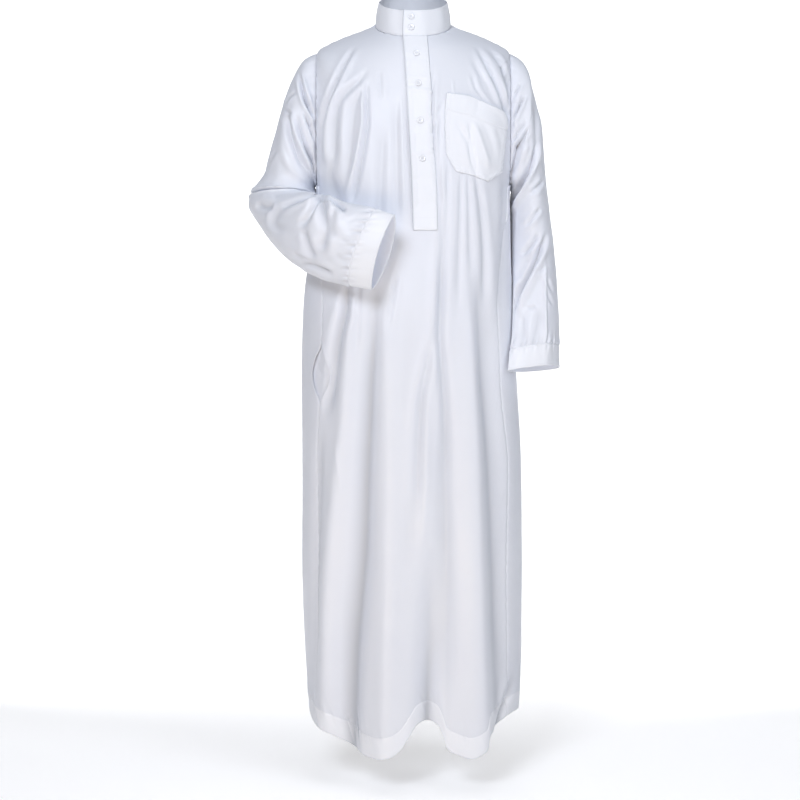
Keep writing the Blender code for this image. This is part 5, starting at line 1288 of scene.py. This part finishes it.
def buildSleeve(name, side, sections, folds, creases, closeRows, seamSlant, seed):
    # seamSlant is how much sooner the cuff's seam comes on the outer side than in the middle, in sections
    sleeve = Sleeve(side, sections, folds, creases)
    seam, last = sleeve.cuffStart(), sleeve.knots[-1]
    columns, made = 190, []
    for kind in ("sleeve", "cuff"):
        if kind == "sleeve":
            t = np.concatenate([[0, 0.02, 0.05, 0.1, 0.2], np.linspace(0.30, seam - 0.06, 206), closeRows,
                                seam - np.array([0.04, 0.022, 0.0075])])
            t = np.unique(np.round(t, 4))
            thick = garment["cloth"]
        else:
            t = np.concatenate([[seam, seam + 0.015, seam + 0.04, seam + 0.08],
                                np.linspace(seam + 0.12, last - 0.10, 22),
                                last - np.array([0.06, 0.03, 0.012, 0])])
            thick = garment["doubled"]
        turn, rows = np.meshgrid(np.arange(columns) * 2 * np.pi / columns, t)
        slant = ease(rows, seam - 2, seam) if kind == "sleeve" else 1 - ease(rows, seam, last)
        rows = rows - seamSlant * np.cos(turn) * slant
        outer, normal = sleeve.walls(turn, rows)
        down = lengthsOf(outer, 0)
        aroundIt = lengthsOf(outer, 1)
        toEnd = down[-1] - down
        change = np.zeros(turn.shape)
        if kind == "sleeve":
            change -= 0.0030 * np.exp(-(down / 0.0034) ** 2)
            change += 0.0007 * wobble(aroundIt, 0.024, seed) * np.exp(-(down / 0.016) ** 2)
            change -= 0.0008 * np.exp(-(toEnd / 0.0020) ** 2)
            puckers = 0.0030 * wobble(aroundIt, 0.015, seed + 1) * np.exp(-(toEnd / 0.014) ** 2)
            change += puckers * ease(toEnd, 0, 0.003)
            change += 0.0006 * wobble(aroundIt, 0.070, seed + 2) * wobble(down, 0.12, seed)
        else:
            change -= 0.0007 * np.exp(-(down / 0.0014) ** 2)
            puckers = 0.0014 * wobble(aroundIt, 0.015, seed + 1) * np.exp(-(down / 0.012) ** 2)
            change += puckers * ease(down, 0, 0.004)
            change -= 0.0005 * np.exp(-((toEnd - garment["cuffStitchIn"]) / 0.0010) ** 2)
            change += 0.0004 * wobble(aroundIt, 0.030, seed + 3)
        inner = outer - normal * thick
        outer = outer + normal * change[..., None]
        relief = ((outer - sleeve.plain(turn, rows)) * normal).sum(-1)
        # painted shade, greyer in the sleeve's fold troughs
        shadeMask = paintedShadeOf(relief, 0.30 / columns, 0.016, 0.009, tube=True)
        inner = inner + normal * (change * np.where(change < 0, 0.8, 1.0))[..., None]
        piece = makeWall(f"robe_{kind}_{name}", outer, inner,
                         [singleCloth if kind == "sleeve" else doubledCloth, insideCloth], tube=True, inside=True,
                         shadeMask=shadeMask)
        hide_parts(f"{kind}_{name}")
        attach(piece, "root")
        made.append(outer)
        print(kind, name, "area", round(sheetArea(outer, tube=True), 4))
    return made


hangingGrids = buildSleeve("hanging", "right", hangingSections, (hangingFrontFolds, hangingBackFolds), {}, [], 0.0,
                           1.0)
bentGrids = buildSleeve("bent", "left", bentSections, (bentFrontFolds, bentBackFolds), elbowCreases,
                        np.linspace(5.82, 6.24, 30), 0.17,
                        4.0)
print("sleeves made")

# Buttons, each turned from resin with a rim, four holes and its cross of thread

button = {
    "radius": 0.0062,
    "thick": 0.0024,
    "gap": 0.0004,          # between a button and its cloth
    "sides": 48,
    "holeRadius": 0.0005,
    "holeOff": 0.00125,     # from the middle to each hole, along both axes
    "profile": ((0.0, 0.0), (0.60, 0.0), (0.86, 0.16), (0.98, 0.38), (1.0, 0.56), (0.985, 0.80), (0.93, 0.96),
                (0.86, 1.0), (0.80, 0.98), (0.74, 0.90), (0.66, 0.83), (0.40, 0.80), (0.0, 0.80)),
    "placketZ": (-0.072, -0.131, -0.203, -0.276),
    "turned": (0.10, -0.22, 0.35, 0.05, -0.30, 0.18),   # how far each has turned on its thread
}


def meshObject(name, vertices, faces, material):
    mesh = bpy.data.meshes.new(name)
    mesh.from_pydata([tuple(v) for v in vertices], [], faces)
    mesh.materials.append(material)
    made = bpy.data.objects.new(name, mesh)
    bpy.context.scene.collection.objects.link(made)
    return made


def lathe(name, profile, sides, material):
    # a closed turned shape about Z; a profile point on the axis becomes one vertex
    vertices, rings, faces = [], [], []
    for radius, height in profile:
        if radius == 0:
            rings.append([len(vertices)])
            vertices.append((0, 0, height))
        else:
            rings.append([len(vertices) + k for k in range(sides)])
            vertices += [(radius * math.cos(2 * math.pi * k / sides), radius * math.sin(2 * math.pi * k / sides),
                          height) for k in range(sides)]
    for low, high in zip(rings, rings[1:]):
        for k in range(sides):
            n = (k + 1) % sides
            corners = [low[k % len(low)], low[n % len(low)], high[n % len(high)], high[k % len(high)]]
            faces.append(list(dict.fromkeys(corners)))
    return meshObject(name, vertices, faces, material)


def bakeModifiers(obj):
    graph = bpy.context.evaluated_depsgraph_get()
    mesh = bpy.data.meshes.new_from_object(obj.evaluated_get(graph))
    obj.modifiers.clear()
    obj.data = mesh
    return obj


def makeButtonMesh():
    radius, thick = button["radius"], button["thick"]
    profile = [(r * radius, h * thick) for r, h in button["profile"]]
    disc = lathe("button_blank", profile, button["sides"], resinMaterial)
    drills = []
    for sideX in (-1, 1):
        for sideY in (-1, 1):
            drill = lathe("drill", [(0, -thick), (button["holeRadius"], -thick), (button["holeRadius"], 2 * thick),
                                    (0, 2 * thick)], 16, resinMaterial)
            drill.data.transform(matrixAt((sideX * button["holeOff"], sideY * button["holeOff"], 0)))
            cut = disc.modifiers.new("hole", "BOOLEAN")
            cut.object, cut.operation, cut.solver = drill, "DIFFERENCE", "EXACT"
            drills.append(drill)
    bakeModifiers(disc)
    for drill in drills:
        bpy.data.objects.remove(drill, do_unlink=True)
    mesh = disc.data
    bpy.data.objects.remove(disc, do_unlink=True)
    return mesh


def matrixAt(place, x=(1, 0, 0), y=(0, 1, 0), z=(0, 0, 1)):
    columns = np.eye(4)
    columns[:3, 0], columns[:3, 1], columns[:3, 2], columns[:3, 3] = x, y, z, place
    return type(bpy.context.scene.cursor.matrix)(columns.tolist())


def frameAt(place, normal, turn):
    side = unit(np.cross([0.0, 0.0, 1.0], normal))
    up = np.cross(normal, side)
    x = side * math.cos(turn) + up * math.sin(turn)
    return matrixAt(place, x, np.cross(normal, x), normal)


def roundTube(name, points, radius, material, sides=8):
    # a round closed tube along a path, its ends rounded off
    points = np.asarray(points, float)
    ahead = unit(np.gradient(points, axis=0))
    side = unit(np.cross(ahead, [0.31, 0.17, 0.93]))
    up = np.cross(ahead, side)
    turn = np.arange(sides) * 2 * np.pi / sides
    taper = np.ones(len(points))
    taper[[0, -1]] = 0.55
    ring = (np.cos(turn)[None, :, None] * side[:, None] + np.sin(turn)[None, :, None] * up[:, None])
    vertices = (points[:, None] + ring * (radius * taper)[:, None, None]).reshape(-1, 3)
    faces = [(i * sides + k, i * sides + (k + 1) % sides, (i + 1) * sides + (k + 1) % sides, (i + 1) * sides + k)
             for i in range(len(points) - 1) for k in range(sides)]
    faces += [tuple(range(sides))[::-1], tuple((len(points) - 1) * sides + k for k in range(sides))]
    return meshObject(name, vertices, faces, material)


def makeButtonThread():
    # two stitches crossed over the holes, each three threads thick
    loops = []
    off, floor, thick = button["holeOff"], 0.80 * button["thick"], button["thick"]
    for k, (sx, sy) in enumerate(((1, 1), (1, -1))):
        for strand in (-1, 0, 1):
            share = np.linspace(-1, 1, 15)
            arch = floor + 0.00022 + 0.00022 * k * (1 - share ** 2)
            down = np.abs(share) > 0.93
            x = off * sx * share - strand * 0.00019 * sy
            y = off * sy * share + strand * 0.00019 * sx
            z = np.where(down, -0.2 * thick, arch)
            loops.append(roundTube("strand", np.stack([x, y, z], axis=-1), 0.00017, threadMaterial, 6))
    return joined(loops, "button_thread")


def joined(objects, name):
    # several meshes made one, without the select and join operator
    vertices, faces, start = [], [], 0
    for obj in objects:
        vertices += [tuple(v.co) for v in obj.data.vertices]
        faces += [[start + k for k in p.vertices] for p in obj.data.polygons]
        start = len(vertices)
    made = meshObject(name, vertices, faces, objects[0].data.materials[0])
    for obj in objects:
        bpy.data.objects.remove(obj, do_unlink=True)
    return made


def buildButtons():
    blank, cross = makeButtonMesh(), makeButtonThread()
    places = []
    for k, height in enumerate(collar["buttonHeights"]):
        turn = np.array([[math.acos(collar["buttonX"] / bodyTable["right"][0])]])
        place, outward = collarFace(turn, np.array([[height]]))
        places.append((f"collar_button_{k + 1}", place[0, 0] + outward[0, 0] * button["gap"], outward[0, 0]))
    for k, z in enumerate(button["placketZ"]):
        x = placketMiddle(np.array([z]))
        base, normal = onFront(x, np.array([z]))
        lift = float(np.maximum(placketLift(x, np.array([z])), garment["leastLift"])[0])
        lift += garment["doubled"] + button["gap"]
        places.append((f"placket_button_{k + 1}", base[0] + normal[0] * lift, normal[0]))
    threads = []
    for (node, place, normal), turn in zip(places, button["turned"]):
        at = frameAt(place, normal, turn)
        mesh = blank.copy()
        mesh.transform(at)
        mesh.shade_smooth()
        mesh.set_sharp_from_angle(angle=math.radians(38))
        disc = bpy.data.objects.new(f"robe_{node}", mesh)
        bpy.context.scene.collection.objects.link(disc)
        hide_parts(node)
        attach(disc, "root")
        strand = cross.data.copy()
        strand.transform(at)
        thread = bpy.data.objects.new("strand", strand)
        bpy.context.scene.collection.objects.link(thread)
        threads.append(thread)
    made = joined(threads, "button_threads")
    made.data.shade_smooth()
    bpy.data.objects.remove(cross, do_unlink=True)
    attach(made, "root")


buildButtons()
print("buttons made")

# Sewing: a Geometry Nodes tree lays one stitch at each step of a line

stitch = {
    "pitch": 0.0026,
    "long": 0.0021,
    "thick": 0.00042,
    "standsOff": 0.00008,   # from the cloth to a stitch's middle
    "uneven": 0.06,         # radians that a stitch may lie askew
    "segments": 6,
    "rings": 4,
}


def makeStitchTree():
    tree = bpy.data.node_groups.new("stitchesAlongLine", "GeometryNodeTree")
    tree.interface.new_socket("Line", in_out="INPUT", socket_type="NodeSocketGeometry")
    for name, value in (("Pitch", stitch["pitch"]), ("Length", stitch["long"]), ("Thickness", stitch["thick"])):
        socket = tree.interface.new_socket(name, in_out="INPUT", socket_type="NodeSocketFloat")
        socket.default_value = value
    socket = tree.interface.new_socket("Seed", in_out="INPUT", socket_type="NodeSocketInt")
    socket.default_value = 7
    tree.interface.new_socket("Thread", in_out="INPUT", socket_type="NodeSocketMaterial")
    tree.interface.new_socket("Stitches", in_out="OUTPUT", socket_type="NodeSocketGeometry")
    given = addNode(tree, "NodeGroupInput")
    curve = addNode(tree, "GeometryNodeMeshToCurve", None, None, [("Mesh", given.outputs["Line"])])
    steps = addNode(tree, "GeometryNodeResampleCurve", {"mode": "LENGTH"}, None,
                    [("Curve", curve.outputs["Curve"]), ("Length", given.outputs["Pitch"])])
    along = addNode(tree, "GeometryNodeInputTangent")
    outward = addNode(tree, "GeometryNodeInputNamedAttribute", {"data_type": "FLOAT_VECTOR"}, {"Name": "outward"})
    lying = addNode(tree, "FunctionNodeAlignRotationToVector", {"axis": "X"}, None,
                    [("Vector", along.outputs["Tangent"])])
    upright = addNode(tree, "FunctionNodeAlignRotationToVector", {"axis": "Z", "pivot_axis": "X"}, None,
                      [("Rotation", lying.outputs["Rotation"]), ("Vector", outward.outputs["Attribute"])])
    bead = addNode(tree, "GeometryNodeMeshUVSphere", None,
                   {"Segments": stitch["segments"], "Rings": stitch["rings"], "Radius": 0.5})
    longer = addNode(tree, "FunctionNodeRandomValue", {"data_type": "FLOAT"}, {"Min": 0.9, "Max": 1.05},
                     [("Seed", given.outputs["Seed"])])
    length = addNode(tree, "ShaderNodeMath", {"operation": "MULTIPLY"}, None,
                     [(0, given.outputs["Length"]), (1, longer.outputs["Value"])])
    size = addNode(tree, "ShaderNodeCombineXYZ", None, None,
                   [("X", length.outputs[0]), ("Y", given.outputs["Thickness"]),
                    ("Z", given.outputs["Thickness"])])
    sway = addNode(tree, "FunctionNodeRandomValue", {"data_type": "FLOAT"},
                   {"Min": -stitch["uneven"], "Max": stitch["uneven"]}, [("Seed", given.outputs["Seed"])])
    turned = addNode(tree, "FunctionNodeAxisAngleToRotation", None, {"Axis": (0, 0, 1)},
                     [("Angle", sway.outputs["Value"])])
    swayed = addNode(tree, "FunctionNodeRotateRotation", {"rotation_space": "LOCAL"}, None,
                     [("Rotation", upright.outputs["Rotation"]), ("Rotate By", turned.outputs["Rotation"])])
    laid = addNode(tree, "GeometryNodeInstanceOnPoints", None, None,
                   [("Points", steps.outputs["Curve"]), ("Instance", bead.outputs["Mesh"]),
                    ("Rotation", swayed.outputs["Rotation"]), ("Scale", size.outputs["Vector"])])
    real = addNode(tree, "GeometryNodeRealizeInstances", None, None, [("Geometry", laid.outputs["Instances"])])
    smooth = addNode(tree, "GeometryNodeSetShadeSmooth", None, None, [("Geometry", real.outputs["Geometry"])])
    coloured = addNode(tree, "GeometryNodeSetMaterial", None, None,
                       [("Geometry", smooth.outputs["Geometry"]), ("Material", given.outputs["Thread"])])
    addNode(tree, "NodeGroupOutput", None, None, [("Stitches", coloured.outputs["Geometry"])])
    return tree


stitchTree = makeStitchTree()


def sew(name, lines, pitch=stitch["pitch"], seed=7):
    # lines are (points, normals); the stitches of all of them become one mesh
    vertices, edges, normals, start = [], [], [], 0
    for points, outward in lines:
        vertices += [tuple(p + n * stitch["standsOff"]) for p, n in zip(points, outward)]
        edges += [(start + k, start + k + 1) for k in range(len(points) - 1)]
        normals += list(outward)
        start = len(vertices)
    mesh = bpy.data.meshes.new(name)
    mesh.from_pydata(vertices, edges, [])
    layer = mesh.attributes.new("outward", "FLOAT_VECTOR", "POINT")
    layer.data.foreach_set("vector", np.array(normals, np.float32).reshape(-1))
    line = bpy.data.objects.new(name, mesh)
    bpy.context.scene.collection.objects.link(line)
    modifier = line.modifiers.new("stitches", "NODES")
    modifier.node_group = stitchTree
    values = {"Pitch": pitch, "Length": pitch * stitch["long"] / stitch["pitch"], "Thickness": stitch["thick"],
              "Seed": seed, "Thread": threadMaterial}
    for socket in stitchTree.interface.items_tree:
        if socket.item_type == "SOCKET" and socket.in_out == "INPUT" and socket.name in values:
            modifier[socket.identifier] = values[socket.name]
    bakeModifiers(line)
    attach(line, "root")
    print(name, "faces", len(line.data.polygons))
    return line


def lineOn(grid, row, column, count, tube=False, outward=None):
    # a line over a piece's outer grid, from arrays of shares, with the surface's normals
    t = np.linspace(0, 1, count)
    rows, columns = np.interp(t, *shareKnots(row)), np.interp(t, *shareKnots(column))
    points = sample(grid, rows, columns, tube)
    small = 0.004
    across = sample(grid, rows, columns + small, tube) - sample(grid, rows, columns - small, tube)
    down = (sample(grid, np.clip(rows + small, 0, 1), columns, tube)
            - sample(grid, np.clip(rows - small, 0, 1), columns, tube))
    normal = unit(np.cross(across, down))
    if outward is None:
        outward = points.copy()
        outward[:, 2] = 0
    return points, normal * np.sign((normal * outward).sum(-1, keepdims=True) + 1e-12)


def shareKnots(values):
    values = np.atleast_1d(np.asarray(values, float))
    return (np.linspace(0, 1, len(values)), values) if len(values) > 1 else ([0, 1], [values[0], values[0]])


def rowShare(lengths, distance):
    # the share of rows at which a length is reached
    return float(np.interp(distance, lengths, np.linspace(0, 1, len(lengths))))


def sewAll():
    lines = []
    # the skirt's hem, along each panel
    hemRow = float(np.searchsorted(upperRows, hem - garment["hemDepth"])) / (len(upperRows) - 1)
    lowRow = float(np.searchsorted(lowerRows, hem - garment["hemDepth"])) / (len(lowerRows) - 1)
    for grid, share in ((frontGrid, hemRow), (backGrid, hemRow), (rightSideGrid, lowRow), (leftSideGrid, lowRow)):
        lines.append(lineOn(grid, share, (0.004, 0.996), 400))
    sew("hem_stitches", lines)
    # the placket's edges
    outer = placketGrid
    inset = placket["stitchIn"] / placket["wide"]
    forward = np.array([0.0, -1.0, 0.0])
    shares = spacedColumns(outer, inset), spacedColumns(outer, 1 - inset)
    lines = [lineOn(outer, (0.0, 0.99), s, 300, outward=forward) for s in shares]
    lines.append(lineOn(outer, 0.993, shares, 40, outward=forward))
    lines.append(lineOn(outer, 0.94, shares, 40, outward=forward))
    sew("placket_stitches", lines)
    # the pocket: its sewn edges and its hem
    outer = pocketGrid
    inset = pocket["stitchIn"] / pocket["wide"]
    left, right = spacedColumns(outer, inset), spacedColumns(outer, 1 - inset)
    low, mouth = spacedRows(outer, 1 - pocket["stitchIn"] / pocket["tall"]), spacedRows(outer, pocket["hemShare"])
    across = (left, right)
    lines = [lineOn(outer, row, column, 160, outward=forward)
             for row, column in (((0.0, low), left), (low, across), ((low, 0.0), right), (mouth, across))]
    sew("pocket_stitches", lines)
    # the collar, all round
    outer = collarGrid
    tall = lengthsOf(outer, 0)[:, 0]
    wide = lengthsOf(outer, 1)[0]
    low, high = rowShare(tall, collar["stitchIn"]), rowShare(tall, tall[-1] - collar["stitchIn"])
    first, last = rowShare(wide, collar["stitchIn"]), rowShare(wide, wide[-1] - collar["stitchIn"])
    lines = [lineOn(outer, high, (first, last), 700), lineOn(outer, low, (first, last), 700),
             lineOn(outer, (low, high), first, 30), lineOn(outer, (low, high), last, 30)]
    sew("collar_stitches", lines)
    # the cuffs' edges
    lines = []
    for sleeveOuter, cuffOuter in (hangingGrids, bentGrids):
        tall = lengthsOf(cuffOuter, 0)[:, 0]
        centre = cuffOuter.mean((0, 1))
        for inset in (garment["cuffStitchIn"], tall[-1] - garment["cuffStitchIn"]):
            points, normal = lineOn(cuffOuter, rowShare(tall, inset), (0, 1), 400, tube=True)
            lines.append((points, normal * np.sign((normal * (points - centre)).sum(-1, keepdims=True))))
    sew("cuff_stitches", lines)


def spacedColumns(grid, share):
    across = lengthsOf(grid, 1)[0]
    return float(np.interp(share * across[-1], across, np.linspace(0, 1, len(across))))


def spacedRows(grid, share):
    down = lengthsOf(grid, 0)[:, 0]
    return float(np.interp(share * down[-1], down, np.linspace(0, 1, len(down))))


sewAll()
print("sewing made")

# Floor, light and camera

room = {
    "floorZ": -1.492,
    "sweepWide": 8.0,
    "sweepFront": -6.0,
    "sweepBack": 2.6,       # where the floor starts to curve up
    "sweepRadius": 1.6,
    "sweepTall": 5.0,
    "camera": (-0.026, -3.2, -0.622),
    "aim": (-0.026, 0.0, -0.742),
    "lens": 72.0,
    "ambient": 0.13,
}


def makeAcrylic():
    # opal acrylic, lit from behind: an even white with a little mottling, and soft shadows
    material, tree = startMaterial("opal_acrylic")
    place = addNode(tree, "ShaderNodeTexCoord")
    mottle = addNode(tree, "ShaderNodeTexNoise", None, {"Scale": 3.0, "Detail": 2.0},
                     [("Vector", place.outputs["Object"])])
    colour = addNode(tree, "ShaderNodeMix", {"data_type": "RGBA"},
                     {"A": hexColour("#F4F4F5"), "B": hexColour("#F8F8F9")}, [("Factor", mottle.outputs["Fac"])])
    # to the camera it glows more, so that the ground stays white
    rays = addNode(tree, "ShaderNodeLightPath")
    glow = addNode(tree, "ShaderNodeMath", {"operation": "MULTIPLY_ADD"}, {1: 0.28, 2: 0.12},
                   [(0, rays.outputs["Is Camera Ray"])])
    shader = addNode(tree, "ShaderNodeBsdfPrincipled", None,
                     {"Roughness": 0.85, "Emission Color": hexColour("#FFFFFF")},
                     [("Base Color", colour.outputs["Result"]), ("Emission Strength", glow.outputs[0])])
    addNode(tree, "ShaderNodeOutputMaterial", None, None, [("Surface", shader.outputs["BSDF"])])
    return material


def buildSweep():
    # the floor, curved up into the wall behind
    turn = np.linspace(0, np.pi / 2, 24)
    y = room["sweepBack"] + room["sweepRadius"] * np.sin(turn)
    z = room["floorZ"] + room["sweepRadius"] * (1 - np.cos(turn))
    line = [(room["sweepFront"], room["floorZ"])] + list(zip(y, z)) + [(y[-1], room["floorZ"] + room["sweepTall"])]
    vertices = [(side * room["sweepWide"], y, z) for y, z in line for side in (-1, 1)]
    faces = [(2 * k, 2 * k + 1, 2 * k + 3, 2 * k + 2) for k in range(len(line) - 1)]
    sweep = meshObject("studio_sweep", vertices, faces, makeAcrylic())
    sweep.data.shade_smooth()


def buildSky(tree):
    # the pale wall of the studio, which looks brighter than the light that it gives
    tree.nodes.clear()
    rays = addNode(tree, "ShaderNodeLightPath")
    light = addNode(tree, "ShaderNodeBackground", None,
                    {"Color": hexColour("#F1F4FB"), "Strength": room["ambient"]})
    wall = addNode(tree, "ShaderNodeBackground", None, {"Color": hexColour("#F7F8FA"), "Strength": 0.95})
    seen = addNode(tree, "ShaderNodeMixShader", None, None,
                   [("Fac", rays.outputs["Is Camera Ray"]), (1, light.outputs["Background"]),
                    (2, wall.outputs["Background"])])
    addNode(tree, "ShaderNodeOutputWorld", None, None, [("Surface", seen.outputs["Shader"])])


def buildRoom():
    scene = bpy.context.scene
    buildSweep()
    world = bpy.data.worlds.new("studio")
    world.use_nodes = True
    buildSky(world.node_tree)
    scene.world = world
    scene.view_settings.view_transform = "Standard"     # white cloth stays white
    aim = np.array(room["aim"])
    lamps = {
        # place, watts, size, colour
        "key": ((-1.1, -3.3, 1.2), 68, 1.2, "#F0F5FF"),
        "fill": ((2.3, -2.2, 0.4), 25, 1.4, "#F1F6FF"),
        "low": ((-0.3, -1.9, -1.4), 10, 1.0, "#FFDDA8"),
        "top": ((0.1, -0.7, 1.7), 8, 1.2, "#FFFFFF"),
    }
    for name, (place, watts, size, colour) in lamps.items():
        light = bpy.data.lights.new(name, "AREA")
        light.energy, light.size, light.color = watts, size, hexColour(colour)[:3]
        lamp = bpy.data.objects.new(name, light)
        scene.collection.objects.link(lamp)
        lamp.location = place
        lookAt(lamp, aim)
    for side in (-1, 1):
        light = bpy.data.lights.new("wall", "AREA")
        light.energy, light.size = 60, 1.6
        lamp = bpy.data.objects.new("wall", light)
        scene.collection.objects.link(lamp)
        lamp.location = (side * 2.0, 1.0, -0.2)
        lookAt(lamp, np.array([side * 0.8, 4.2, -0.4]))
    lens = bpy.data.cameras.new("camera")
    lens.lens, lens.sensor_width = room["lens"], 36.0
    view = bpy.data.objects.new("camera", lens)
    scene.collection.objects.link(view)
    view.location = room["camera"]
    lookAt(view, aim)
    scene.camera = view


def lookAt(obj, aim):
    back = unit(np.array(obj.location) - aim)
    side = unit(np.cross([0.0, 0.0, 1.0], back))
    obj.matrix_world = matrixAt(tuple(obj.location), side, np.cross(back, side), back)


buildRoom()
